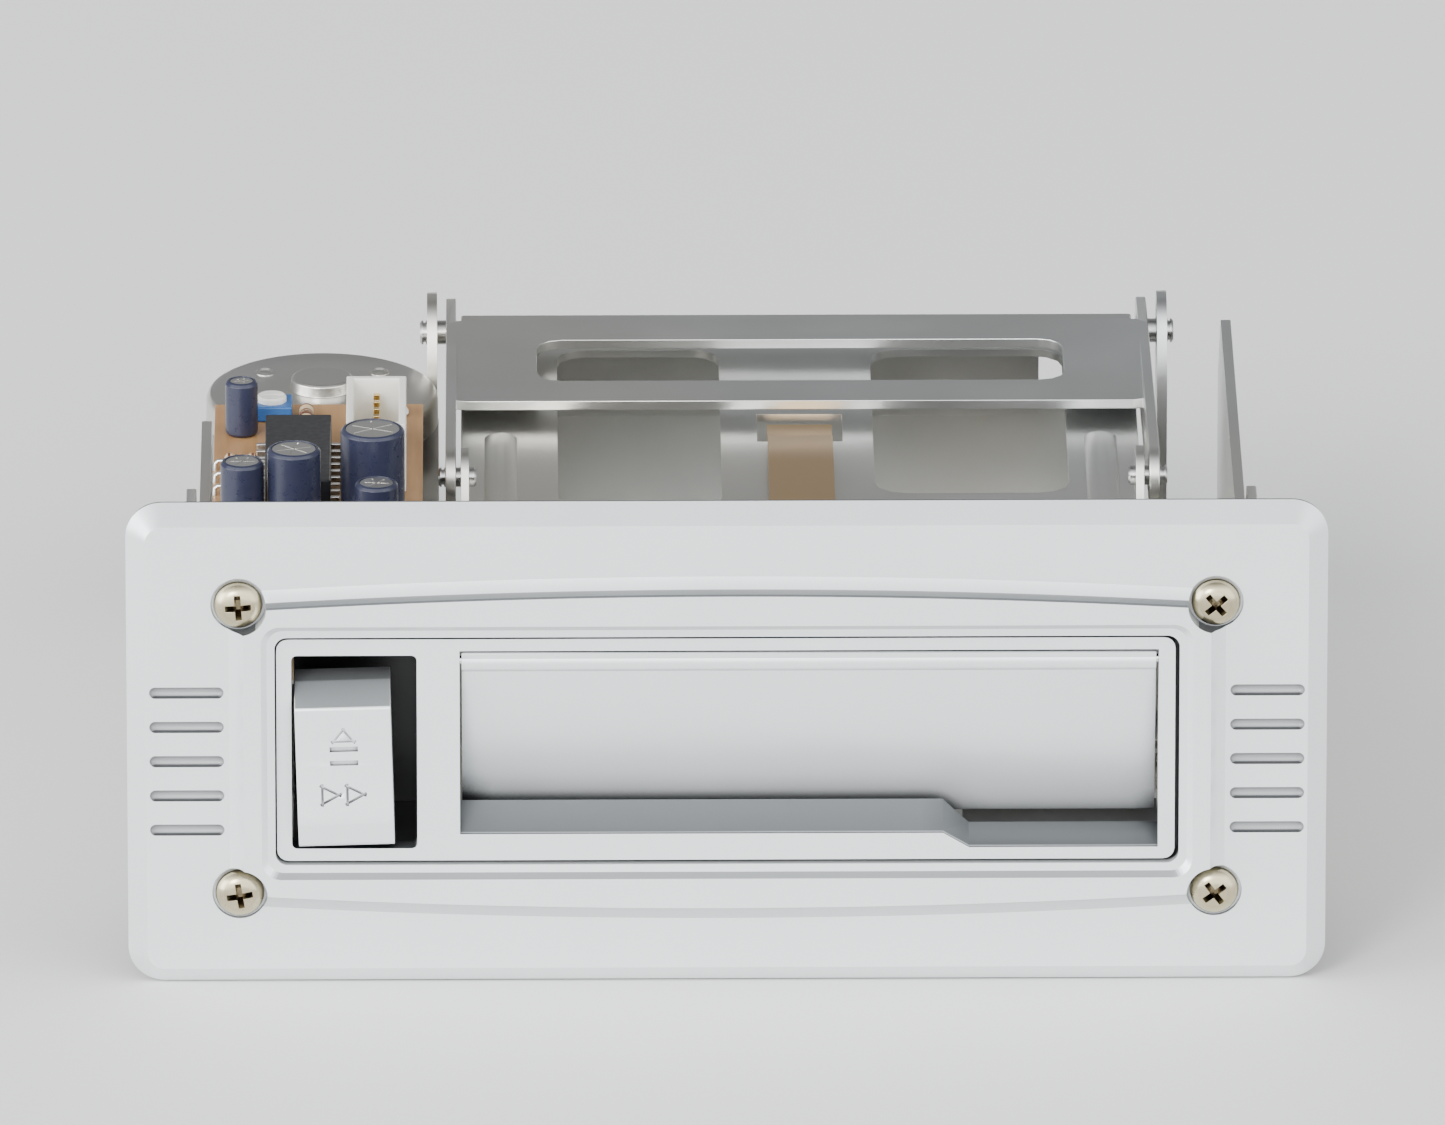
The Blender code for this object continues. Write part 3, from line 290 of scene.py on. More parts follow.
def new_material(name, colour, roughness, metallic):
    """A material, and its nodes to refine it with."""
    material = bpy.data.materials.new(name)
    material.use_nodes = True
    nodes = Nodes(material.node_tree)
    nodes.shader.inputs["Base Color"].default_value = (*colour, 1.0)
    nodes.shader.inputs["Roughness"].default_value = roughness
    nodes.shader.inputs["Metallic"].default_value = metallic
    return material, nodes


def shade(colour, factor):
    return tuple(min(1.0, channel * factor) for channel in colour)


# ---- silver paint

SILVER_METALLIC = 0.6
# Painted shade: how far faces that look up, the button's top band, the sill, the grooves, the lens's
# underside and the bevel below the pocket are darkened.
LEDGE_SHADE = 0.92
BUTTON_LEDGE_SHADE = 0.72
HIGH_SILL_SHADE, LOW_SILL_SHADE = 0.92, 0.985
GROOVE_SHADE = 0.6
LENS_SHADE = 0.30
BEVEL_SHADE = 0.68
CREVICE_REACH = 3.2
# Colour of the painted shade on faces that look up.
SHADED_LEDGE_COLOUR = (0.075, 0.08, 0.085)
# Colour of the painted shade in crevices.
CREVICE_SHADE_COLOUR = (0.02, 0.021, 0.023)
# Bare plastic; the bezel's and the slot frame's masks also use this colour for painted shade.
BARE_PLASTIC_AND_SHADE_COLOUR = (0.012, 0.012, 0.013)


def frame_mask(nodes):
    """Where no paint reaches on the slot frame, behind the sill and in the button's housing, and painted
    shadow on its top edge in the gap above the panel.
    """
    x, y, z = nodes.where()
    overspray = nodes.spread(nodes.noise(600.0, 2.0), -0.2 * MM, 0.2 * MM, 0.3, 0.7)
    depth = nodes.math("ADD", y, overspray)
    in_housing = nodes.multiply(nodes.past(depth, -1.6, -0.9), nodes.before(x, -27.6, -27.4))
    # Painted shadow: the panel's top edge is darkened as the gap above it shades it.
    top_edge_shadow = nodes.multiply(nodes.past(z, 11.18, 11.26), nodes.past(y, -2.8, -2.7))
    return nodes.most(nodes.past(depth, 1.0, 1.4), in_housing, top_edge_shadow)


def bezel_mask(nodes):
    """Where no paint reaches on the bezel, and painted shade in part in its grooves and on the faces of its
    lens-shaped panel that look down.
    """
    x, y, z = nodes.where()
    across, level = nodes.math("ABSOLUTE", x), nodes.math("ABSOLUTE", z)
    in_pocket = nodes.multiply(
        nodes.past(y, -2.7, -2.1),
        nodes.before(level, POCKET_Z + 0.1, POCKET_Z + 0.2),
        nodes.before(across, POCKET_X + 0.1, POCKET_X + 0.2),
    )
    # Painted shade in the grooves.
    groove_shade = nodes.multiply(
        nodes.spread(y, 0.0, GROOVE_SHADE, -2.38 * MM, -2.2 * MM),
        nodes.past(across, 47.8, 47.9),
        nodes.before(across, 55.4, 55.5),
        nodes.before(level, 10.0, 10.1),
    )
    # Painted shade on the faces of the lens-shaped panel that look down.
    lens_underside_shade = nodes.multiply(
        nodes.spread(nodes.upward(), LENS_SHADE, 0.0, -0.50, -0.30), nodes.before(level, 20.2, 20.5)
    )
    behind = nodes.past(y, -0.15, -0.02)
    return nodes.most(behind, in_pocket, groove_shade, lens_underside_shade)


def back_mask(nodes):
    """Where no paint reaches on the door and the button: the sides that face into the cabinet."""
    return nodes.spread(nodes.parts("ShaderNodeTexCoord", "Normal")["Y"], 0.0, 1.0, 0.25, 0.45)


def sill_shade(nodes, ledge):
    """Painted shade on the lead-in ramp from just behind the panel's face, and most of all on its low end."""
    x, y, z = nodes.where()
    # Painted shade on the sill's ramp.
    ramp = nodes.multiply(
        nodes.spread(x, HIGH_SILL_SHADE, LOW_SILL_SHADE, 18.5 * MM, 22.5 * MM),
        nodes.before(z, -6.1, -5.8),
        nodes.past(y, -2.65, -2.45),
        nodes.past(x, -25.75, -25.6),
    )
    return nodes.most(ledge, ramp)


def bezel_shade(nodes, ledge):
    """Keeps the painted ledge shade off the pocket's bottom wall, and paints shade on the bevel that leads to
    it.
    """
    z = nodes.where()["Z"]
    # Painted shade on the bevel below the pocket.
    facing = nodes.spread(nodes.upward(), 0.0, 1.0, 0.50, 0.65)
    bevel = nodes.multiply(facing, nodes.spread(z, BEVEL_SHADE, 0.0, -12.1 * MM, -11.9 * MM))
    return nodes.most(nodes.multiply(ledge, nodes.past(z, -11.3, -11.2)), bevel)


def silver_paint(name, colour, mask_of, shade_of=None, ledge_shade=LEDGE_SHADE):
    """Silver-painted ABS: flakes in a satin coat, orange peel, painted shade on ledges and in crevices, bare
    places.
    """
    material, nodes = new_material(name, colour, 0.36, SILVER_METALLIC)
    flakes = nodes.cells(9000.0)
    speck = nodes.ramp(flakes, shade(colour, 1.035), shade(colour, 0.965), 0.1, 0.7)
    cloud = nodes.ramp(nodes.noise(14.0, 4.0), shade(colour, 0.985), shade(colour, 1.015), 0.35, 0.65)
    # Painted shade on faces that look up.
    ledge = nodes.spread(nodes.upward(), 0.0, ledge_shade, 0.725, 0.80)
    if shade_of:
        ledge = shade_of(nodes, ledge)
    # Painted shade in crevices and between parts, from ambient occlusion.
    crevice = nodes.add("ShaderNodeAmbientOcclusion", samples=8, only_local=mask_of is bezel_mask)
    crevice.inputs["Distance"].default_value = CREVICE_REACH * MM
    crevice_shade = nodes.spread(crevice.outputs["AO"], 1.0, 0.0, 0.24, 0.70)
    # Bare plastic, and on the bezel and the slot frame painted shade as well.
    mask = mask_of(nodes)
    paint = nodes.mix(ledge, nodes.mix(0.5, speck, cloud), SHADED_LEDGE_COLOUR)
    nodes.colour(nodes.mix(mask, nodes.mix(crevice_shade, paint, CREVICE_SHADE_COLOUR), BARE_PLASTIC_AND_SHADE_COLOUR))
    nodes.link(nodes.spread(mask, SILVER_METALLIC, 0.0, 0.0, 1.0), nodes.shader.inputs["Metallic"])
    nodes.roughness(nodes.noise(90.0, 6.0), 0.33, 0.40)
    peel = nodes.bump(nodes.noise(900.0, 2.0), 0.05, 0.05)
    nodes.normal(nodes.bump(flakes, 0.06, 0.02, peel))
    nodes.shader.inputs["Coat Weight"].default_value = 0.15
    nodes.shader.inputs["Coat Roughness"].default_value = 0.3
    return material


# ---- other materials


def sheet_steel(name, colour, roughness=0.34, grain=(1.0, 30.0, 30.0)):
    """Zinc-plated strip: rolling grain, faint spangle, a warm and cool cast, and fine scratches."""
    material, nodes = new_material(name, colour, roughness, 1.0)
    spangle = nodes.noise(55.0, 5.0)
    warm = (min(1.0, colour[0] * 1.04), colour[1], colour[2] * 0.93)
    cool = (colour[0] * 0.94, colour[1] * 0.985, min(1.0, colour[2] * 1.04))
    tint = nodes.ramp(nodes.noise(9.0, 2.0), warm, cool, 0.38, 0.62)
    darker = nodes.ramp(spangle, (0.94, 0.94, 0.94), (1.0, 1.0, 1.0), 0.3, 0.65)
    nodes.colour(nodes.mix(1.0, tint, darker, "MULTIPLY"))
    nodes.roughness(spangle, roughness - 0.03, roughness + 0.05)
    scratch = nodes.bump(nodes.noise(1200.0, 2.0, (0.04, 1.0, 1.0)), 0.12, 0.02)
    nodes.normal(nodes.bump(nodes.noise(260.0, 3.0, grain), 0.10, 0.02, scratch))
    return material


def turned_metal(name, colour, roughness, rings=0.10, finish=None):
    """Lathe-turned metal: fine rings about the upright axis and a little tarnish."""
    material, nodes = new_material(name, colour, roughness, 1.0)
    tarnish = nodes.noise(120.0, 5.0)
    plating = nodes.ramp(tarnish, shade(colour, 0.86), shade(colour, 1.06), 0.3, 0.7)
    nodes.colour(finish(nodes, plating) if finish else plating)
    nodes.roughness(tarnish, roughness - 0.05, roughness + 0.08)
    nodes.normal(nodes.bump(nodes.noise(2500.0, 2.0, (1.0, 1.0, 0.05)), rings, 0.01))
    nodes.shader.inputs["Anisotropic"].default_value = 0.4
    return material


def screw_head_shade(nodes, plating):
    """Painted shade on the bezel screws: a dark brown cross recess, and a darker rim round the head."""
    x, y, z = nodes.where()
    offsets = nodes.add("ShaderNodeCombineXYZ")
    for axis, place, middle in (("X", x, SCREW_X), ("Z", z, SCREW_Z)):
        nodes.link(nodes.math("SUBTRACT", nodes.math("ABSOLUTE", place), middle * MM), offsets.inputs[axis])
    reach = nodes.add("ShaderNodeVectorMath", operation="LENGTH")
    nodes.link(offsets.outputs["Vector"], reach.inputs[0])
    reach = reach.outputs["Value"]
    inside = nodes.before(reach, 1.3, 1.6)
    # Painted shade in the cross recess and round the rim of the head.
    recess = nodes.multiply(inside, nodes.past(y, -3.5, -3.0), nodes.before(y, -2.4, -2.1))
    rim = nodes.spread(reach, 0.0, 0.55, 2.1 * MM, 2.4 * MM)
    return nodes.mix(rim, nodes.mix(recess, plating, (0.10, 0.07, 0.036)), (0.13, 0.11, 0.08))


def moulded(name, colour, roughness, texture=0.12, see_through=0.0):
    """Moulded plastic: fine spark texture, flow clouds and a satin skin."""
    material, nodes = new_material(name, colour, roughness, 0.0)
    nodes.colour(nodes.ramp(nodes.noise(40.0, 4.0), shade(colour, 0.93), shade(colour, 1.04), 0.3, 0.7))
    fine = nodes.noise(1400.0)
    nodes.roughness(fine, roughness - 0.05, roughness + 0.07)
    nodes.normal(nodes.bump(fine, texture, 0.03))
    if see_through:
        nodes.shader.inputs["Subsurface Weight"].default_value = see_through
        nodes.shader.inputs["Subsurface Radius"].default_value = (0.002, 0.0018, 0.0014)
        nodes.shader.inputs["Subsurface Scale"].default_value = 1.0
    return material


def rubber_material(name):
    """Black rubber with a little dust."""
    material, nodes = new_material(name, (0.022, 0.022, 0.023), 0.62, 0.0)
    dust = nodes.noise(300.0, 6.0)
    nodes.colour(nodes.ramp(dust, (0.015, 0.015, 0.016), (0.045, 0.044, 0.043), 0.35, 0.75))
    nodes.roughness(dust, 0.55, 0.75)
    nodes.normal(nodes.bump(nodes.noise(2200.0, 2.0), 0.2, 0.03))
    return material


def board_material(name):
    """Paper-phenolic board: brown, with darker fibres and a resin gloss."""
    material, nodes = new_material(name, (0.36, 0.19, 0.075), 0.38, 0.0)
    fibre = nodes.noise(700.0, 6.0, (1.0, 0.12, 1.0))
    patch = nodes.noise(60.0, 4.0)
    tint = nodes.ramp(fibre, (0.26, 0.13, 0.05), (0.44, 0.25, 0.11), 0.3, 0.72)
    nodes.colour(nodes.mix(nodes.spread(patch, 0.0, 0.35, 0.35, 0.7), tint, (0.48, 0.30, 0.15)))
    nodes.roughness(patch, 0.3, 0.48)
    nodes.normal(nodes.bump(fibre, 0.08, 0.03))
    return material


ROUND_GRAIN = (12.0, 12.0, 1.0)
SILVER = silver_paint("silver_bezel_paint", (0.78, 0.81, 0.825), bezel_mask, bezel_shade)
SILVER_DOOR = silver_paint("silver_door_paint", (0.77, 0.80, 0.815), back_mask)
SILVER_BUTTON = silver_paint("silver_button_paint", (0.79, 0.82, 0.835), back_mask, None, BUTTON_LEDGE_SHADE)
SLOT_SILVER = silver_paint("silver_slot_paint", (0.78, 0.81, 0.825), frame_mask, sill_shade)
ZINC = sheet_steel("zinc_plated_steel", (0.70, 0.70, 0.68))
NICKEL = turned_metal("nickel_screw", (0.60, 0.56, 0.46), 0.24)
# Bezel screws with painted shade in their cross recess and round their heads.
BEZEL_NICKEL = turned_metal("bezel_screw_nickel", (0.50, 0.445, 0.30), 0.24, finish=screw_head_shade)
STEEL = turned_metal("turned_steel", (0.60, 0.60, 0.59), 0.26)
BRIGHT = turned_metal("polished_steel", (0.78, 0.78, 0.79), 0.10, 0.04)
WIRE = turned_metal("spring_wire", (0.50, 0.50, 0.50), 0.3, 0.05)
BRONZE = sheet_steel("spring_bronze", (0.72, 0.50, 0.28), 0.3)
BRASS = turned_metal("turned_brass", (0.80, 0.60, 0.28), 0.24)
CAN = sheet_steel("motor_can_steel", (0.66, 0.66, 0.65), 0.3, ROUND_GRAIN)
BAND = sheet_steel("motor_band", (0.42, 0.42, 0.43), 0.36, ROUND_GRAIN)
RUBBER = rubber_material("rubber")
NYLON = moulded("white_acetal", (0.80, 0.785, 0.73), 0.42, 0.08, 0.25)
BLACK = moulded("black_plastic", (0.018, 0.018, 0.02), 0.42, 0.18)
BOARD = board_material("phenolic_board")
SOLDER = turned_metal("solder_tin", (0.74, 0.74, 0.72), 0.28, 0.05)
COPPER = sheet_steel("copper_track", (0.72, 0.36, 0.18), 0.35)
CORE = sheet_steel("head_core", (0.50, 0.46, 0.40), 0.25)
SLEEVE = moulded("capacitor_sleeve", (0.022, 0.025, 0.05), 0.3, 0.06)
RESISTOR = moulded("resistor_body", (0.55, 0.42, 0.26), 0.35, 0.08)
BAND_INK = moulded("resistor_ink", (0.14, 0.05, 0.03), 0.4, 0.05)
TRIMMER = moulded("trimmer_blue", (0.03, 0.12, 0.34), 0.35, 0.1)

CAD_LOOKS = {
    "silver_bezel": SILVER,
    "silver_door": SILVER_DOOR,
    "silver_button": SILVER_BUTTON,
    "zinc_steel": ZINC,
    "steel_fastener": STEEL,
    "spring_steel": WIRE,
    "spring_bronze": BRONZE,
    "motor_steel": CAN,
    "polished_steel": BRIGHT,
    "flywheel_metal": STEEL,
    "brass": BRASS,
    "rubber": RUBBER,
    "white_nylon": NYLON,
    "black_plastic": BLACK,
    "phenolic_board": BOARD,
}
SLOT_OF = {part["node"]: part["material_slot"] for part in frame["record"]["subparts"]}
BODY_OF = {node: body for body, members in frame["record"]["behaviour"]["bodies"].items() for node in members}


def place_piece(piece, node):
    """Puts a piece on its node's body, in place of that node."""
    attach(piece, BODY_OF[node])
    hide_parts(node)
    return piece


def add_to(body, piece):
    """Puts a piece that CAD doesn't have on a body."""
    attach(piece, body)
    return piece


# ---- mesh building blocks


def make_object(name, bm, material, sharp=35):
    """An object from a mesh in millimetres."""
    bm.transform(Matrix.Scale(MM, 4))
    bmesh.ops.recalc_face_normals(bm, faces=bm.faces)
    mesh = bpy.data.meshes.new(name)
    bm.to_mesh(mesh)
    bm.free()
    mesh.materials.append(material)
    mesh.shade_smooth()
    mesh.set_sharp_from_angle(angle=radians(sharp))
    return new_object(name, mesh)


def round_edges(thing, width, segments=2, limit=32):
    bevel = thing.modifiers.new("edges", "BEVEL")
    bevel.width = width * MM
    bevel.segments = segments
    bevel.limit_method = "ANGLE"
    bevel.angle_limit = radians(limit)
    bevel.use_clamp_overlap = True
    bevel.harden_normals = True
    return thing


def refine(node, edge, material=None, segments=2, limit=32):
    """A CAD node's own shape with its flats joined up and every edge rounded."""
    bm = bmesh.new()
    bm.from_mesh(frame["nodes"][node].data)
    bmesh.ops.remove_doubles(bm, verts=bm.verts, dist=1e-6)
    bmesh.ops.dissolve_limit(bm, angle_limit=radians(0.8), verts=bm.verts, edges=bm.edges)
    bm.transform(Matrix.Scale(1 / MM, 4))
    piece = make_object("fine_" + node, bm, material or CAD_LOOKS[SLOT_OF[node]])
    round_edges(piece, edge, segments, limit)
    return place_piece(piece, node)


def ring_mesh(rings):
    """Skins rings of points that have the same count, and closes the first and the last."""
    bm = bmesh.new()
    rows = [[bm.verts.new(point) for point in ring] for ring in rings]
    for first, second in zip(rows, rows[1:]):
        for here in range(len(first)):
            after = (here + 1) % len(first)
            bm.faces.new((first[here], first[after], second[after], second[here]))
    bm.faces.new(rows[0])
    bm.faces.new(rows[-1])
    return bm


AXES = {
    "X": lambda radius, height, c, s: (height, radius * c, radius * s),
    "Y": lambda radius, height, c, s: (radius * c, height, radius * s),
    "Z": lambda radius, height, c, s: (radius * c, radius * s, height),
}


def lathe_mesh(profile, centre, axis="Z", steps=72, hollow=False):
    """Turns radius and height pairs about a line through centre. A radius of 0 closes the end."""
    place = AXES[axis]
    bm = bmesh.new()
    rows = []
    for radius, height in profile:
        if radius < 1e-6:
            row = [bm.verts.new(place(0, height, 1, 0))] * steps
        else:
            angles = [tau * step / steps for step in range(steps)]
            row = [bm.verts.new(place(radius, height, cos(a), sin(a))) for a in angles]
        rows.append(row)
    pairs = list(zip(rows, rows[1:]))
    if hollow:
        pairs.append((rows[-1], rows[0]))
    for first, second in pairs:
        for here in range(steps):
            after = (here + 1) % steps
            corners = list(dict.fromkeys((first[here], first[after], second[after], second[here])))
            if len(corners) > 2:
                bm.faces.new(corners)
    bm.transform(Matrix.Translation(centre))
    return bm


def lathe(name, profile, centre, material, axis="Z", steps=72, hollow=False, edge=0.1):
    thing = make_object(name, lathe_mesh(profile, centre, axis, steps, hollow), material, 28)
    if edge:
        round_edges(thing, edge, 2, 26)
    return thing


def fine_turned(node, profile, centre, material, axis="Z", steps=72, hollow=False, edge=0.1):
    return place_piece(lathe("fine_" + node, profile, centre, material, axis, steps, hollow, edge), node)


def block_mesh(low, high):
    low, high = Vector(low), Vector(high)
    bm = bmesh.new()
    bmesh.ops.create_cube(bm, size=1)
    bm.transform(Matrix.Translation((low + high) / 2) @ Matrix.Diagonal((*(high - low), 1)))
    return bm


def join_meshes(meshes):
    whole = bmesh.new()
    for bm in meshes:
        scratch = bpy.data.meshes.new("scratch")
        bm.to_mesh(scratch)
        bm.free()
        whole.from_mesh(scratch)
        bpy.data.meshes.remove(scratch)
    return whole


def extrude_mesh(outline, place, near, far):
    """A prism on a closed outline, where place turns two numbers and a height into a point."""
    return ring_mesh([[place(u, v, height) for u, v in outline] for height in (near, far)])


def along_y(x, z, y):
    return (x, y, z)


def along_x(y, z, x):
    return (x, y, z)


def bar_mesh(levels, turn, place):
    """A bar across a centre, through levels of half length, half width and height."""
    c, s = cos(radians(turn)), sin(radians(turn))
    rings = []
    for half, wide, height in levels:
        corners = ((half, wide), (-half, wide), (-half, -wide), (half, -wide))
        rings.append([place(u * c - v * s, u * s + v * c, height) for u, v in corners])
    return ring_mesh(rings)


def final_mesh(thing):
    """A new mesh of a thing with its modifiers or its bevel applied."""
    bpy.context.view_layer.update()
    return bpy.data.meshes.new_from_object(thing.evaluated_get(bpy.context.evaluated_depsgraph_get()))


def baked(thing):
    """Applies the modifiers that a piece has so far."""
    mesh = final_mesh(thing)
    thing.modifiers.clear()
    thing.data = mesh
    return thing


def carve(thing, cutters, operation="DIFFERENCE"):
    """Cuts meshes out of a piece one after another, or joins them to it."""
    for cutter in cutters:
        tool = make_object("tool", cutter, thing.data.materials[0])
        step = thing.modifiers.new("carve", "BOOLEAN")
        step.operation = operation
        step.solver = "EXACT"
        step.object = tool
        baked(thing)
        bpy.data.objects.remove(tool, do_unlink=True)
    thing.data.shade_smooth()
    thing.data.set_sharp_from_angle(angle=radians(30))
    return thing


def wire_piece(name, points, radius, material, closed=False, sides=4):
    """A bent wire through points in millimetres, as a mesh."""
    curve = bpy.data.curves.new(name, "CURVE")
    curve.dimensions = "3D"
    curve.bevel_depth = radius * MM
    curve.bevel_resolution = sides
    curve.use_fill_caps = True
    spline = curve.splines.new("POLY")
    spline.points.add(len(points) - 1)
    for point, place in zip(spline.points, points):
        point.co = (*(Vector(place) * MM), 1)
    spline.use_cyclic_u = closed
    guide = new_object(name + "_guide", curve)
    mesh = final_mesh(guide)
    bpy.data.objects.remove(guide, do_unlink=True)
    mesh.materials.clear()
    mesh.materials.append(material)
    mesh.shade_smooth()
    return new_object(name, mesh)


def coil(centre, radius, turns, length, axis, sense=1):
    """The points of a helix that starts at its centre's height on one axis."""
    across = 28
    points = []
    for step in range(turns * across + 1):
        angle = tau * step / across
        height = length * step / (turns * across)
        offset = AXES[axis](radius, height, cos(angle), sense * sin(angle))
        points.append(tuple(middle + away for middle, away in zip(centre, offset)))
    return points


def arc(centre, radius, start, end, steps):
    angles = [radians(start + (end - start) * step / steps) for step in range(steps + 1)]
    return [(centre[0] + radius * cos(a), centre[1] + radius * sin(a)) for a in angles]


def rounded(half_width, half_height, radius, steps=14):
    """A rounded rectangle about the middle."""
    points = []
    for x_side, z_side, start in ((1, 1, 0), (-1, 1, 90), (-1, -1, 180), (1, -1, 270)):
        middle = (x_side * (half_width - radius), z_side * (half_height - radius))
        points += arc(middle, radius, start, start + 90, steps)
    return points


def pillow(half_width, end_z, rise, steps=56):
    """An outline with straight ends whose top and bottom bow out."""
    top = []
    for step in range(steps + 1):
        t = 1 - 2 * step / steps
        top.append((half_width * t, end_z + rise * (1 - t**2)))
    return top + [(-x, -z) for x, z in top]


def capsule_mesh(start, end, radius, z):
    """A round-ended cutter along X on the bezel's face."""
    cap = 10
    turns = [pi / 2 * step / cap for step in range(cap + 1)]
    left = [(radius * sin(turn), start - radius * cos(turn)) for turn in turns]
    right = [(radius * cos(turn), end + radius * sin(turn)) for turn in turns]
    left[0], right[-1] = (0, left[0][1]), (0, right[-1][1])
    return lathe_mesh(left + right, (0, FACE, z), "X", 24)


def faces_along_y(*outlines):
    """Skins pairs of an outline in X and Z and its Y."""
    return ring_mesh([[(x, y, z) for x, z in outline] for outline, y in outlines])


# ---- bezel and its screws

GROOVE_TOP, GROOVE_PITCH, GROOVES = 5.7, 3.5, 5
GROOVE_ENDS = (48.75, 54.75)
GROOVE_RADIUS = 0.57
SCREW_SEAT = ((0, -4.6), (2.72, -4.6), (2.62, -1.95), (1.7, -1.9), (1.7, 1), (0, 1))


def build_bezel():
    body = faces_along_y(
        (rounded(57.3, 24.2, 3.3), 0),
        (rounded(57.5, 24.4, 3.5), -0.2),
        (rounded(57.5, 24.4, 3.5), -0.45),
        (rounded(55.63, 22.53, 1.63), FACE),
    )
    lens = faces_along_y(
        (pillow(47.7, 15.95, 1.5), -1.4),
        (pillow(47.7, 15.95, 1.5), FACE - 0.02),
        (pillow(46.75, 14.95, 1.43), LENS_FRONT + 0.75),
        (pillow(46.45, 14.62, 1.4), LENS_FRONT + 0.3),
        (pillow(46.3, 14.5, 1.4), LENS_FRONT),
    )
    collar = rounded(43.4, 20, 0.8, 4)
    bezel = make_object("fine_front_bezel", body, SILVER)
    carve(bezel, [lens, faces_along_y((collar, -1), (collar, 11.7))], "UNION")

    def pocket(grow):
        return rounded(POCKET_X + grow, POCKET_Z + grow, 1.2 + grow / 2, 10)

    inside = rounded(42, 18.6, 0.5, 4)
    hollows = [
        faces_along_y((inside, 0.5), (inside, 12.5)),
        faces_along_y(
            (pocket(1.6), LENS_FRONT - 0.3),
            (pocket(0.75), LENS_FRONT + 0.55),
            (pocket(0), LENS_FRONT + 0.62),
            (pocket(0), -0.6),
        ),
        block_mesh((-41.8, -1, -10.9), (41.8, 1, 10.9)),
    ]
    for side, level, _ in SCREWS.values():
        hollows.append(lathe_mesh(SCREW_SEAT, (side * SCREW_X, 0, level * SCREW_Z), "Y", 56))
    for side in (-1, 1):
        ends = sorted(side * end for end in GROOVE_ENDS)
        lines = [GROOVE_TOP - GROOVE_PITCH * line for line in range(GROOVES)]
        hollows.append(join_meshes([capsule_mesh(*ends, GROOVE_RADIUS, z) for z in lines]))
    carve(bezel, hollows)
    round_edges(bezel, 0.16, 3, 24)
    place_piece(bezel, "front_bezel")


def build_bezel_screws():
    pitch, depth, start, tip = 0.5, 0.22, 2, 14.6
    profile = [(0, -3.6), (0.6, -3.59), (1.1, -3.53), (1.6, -3.38), (2, -3.08), (2.25, -2.7)]
    profile += [(2.35, -2.35), (2.32, -2.14), (1.35, -2.1), (1.4, start - pitch)]
    for turn in range(int((tip - start) / pitch)):
        y = start + turn * pitch
        profile += [(1.4, y), (1.4 - depth, y + pitch * 0.5)]
    profile += [(1.2, tip), (0.9, 15), (0, 15)]
    recess = ((1.5525, 0.318, -3.82), (1.35, 0.3, -3.62), (0.4725, 0.222, -2.32))
    for name, (side, level, turn) in SCREWS.items():
        x, z = side * SCREW_X, level * SCREW_Z
        body = lathe_mesh(profile, (x, 0, z), "Y", 48)
        screw = make_object("fine_bezel_screw_" + name, body, BEZEL_NICKEL, 40)
        carve(screw, [bar_mesh(recess, turn + arm, lambda u, v, y: (x + u, y, z + v)) for arm in (0, 90)])
        round_edges(screw, 0.05, 2, 40)
        place_piece(screw, "bezel_screw_" + name)


# ---- button, slot and door

BUTTON_LEFT, BUTTON_RIGHT = -41.25, -32.05
BUTTON_LOW, BUTTON_HIGH = -9.56, 6.57
BUTTON_X, BUTTON_Z = (BUTTON_LEFT + BUTTON_RIGHT) / 2, (BUTTON_LOW + BUTTON_HIGH) / 2
BUTTON_HALF = (BUTTON_HIGH - BUTTON_LOW) / 2
BUTTON_LEAN = -1.5
BUTTON_FACE = (2.75 - BUTTON_HALF, BUTTON_HALF - 1.9)


def button_face(t):
    """The Y of the button's slightly hollow face, from its bottom at 0 to its top at 1."""
    return -4.6 + 0.3 * t + 0.16 * sin(pi * t)


def sunk(outline, depth):
    """A cutter that goes a little way into the button's face, from an outline in X and the frame's Z."""
    low, high = BUTTON_FACE
    middle = sum(z for _, z in outline) / len(outline) - BUTTON_Z
    front = button_face((middle - low) / (high - low))
    return extrude_mesh([(x, z - BUTTON_Z) for x, z in outline], along_y, front - 1, front + depth)


def sunk_triangle(corners, width, depth):
    """Cutters for a triangle sunk as a groove along its three sides."""
    corners = [Vector(corner) for corner in corners]
    middle = sum(corners, Vector((0, 0))) / 3
    cutters = []
    for start, end in zip(corners, corners[1:] + corners[:1]):
        past = (end - start).normalized() * width * 0.3
        start, end = start - past, end + past
        inward = Vector(((start - end).y, (end - start).x)).normalized()
        if inward.dot(middle - start) < 0:
            inward = -inward
        cutters.append(sunk([start, end, end + inward * width, start + inward * width], depth))
    return cutters


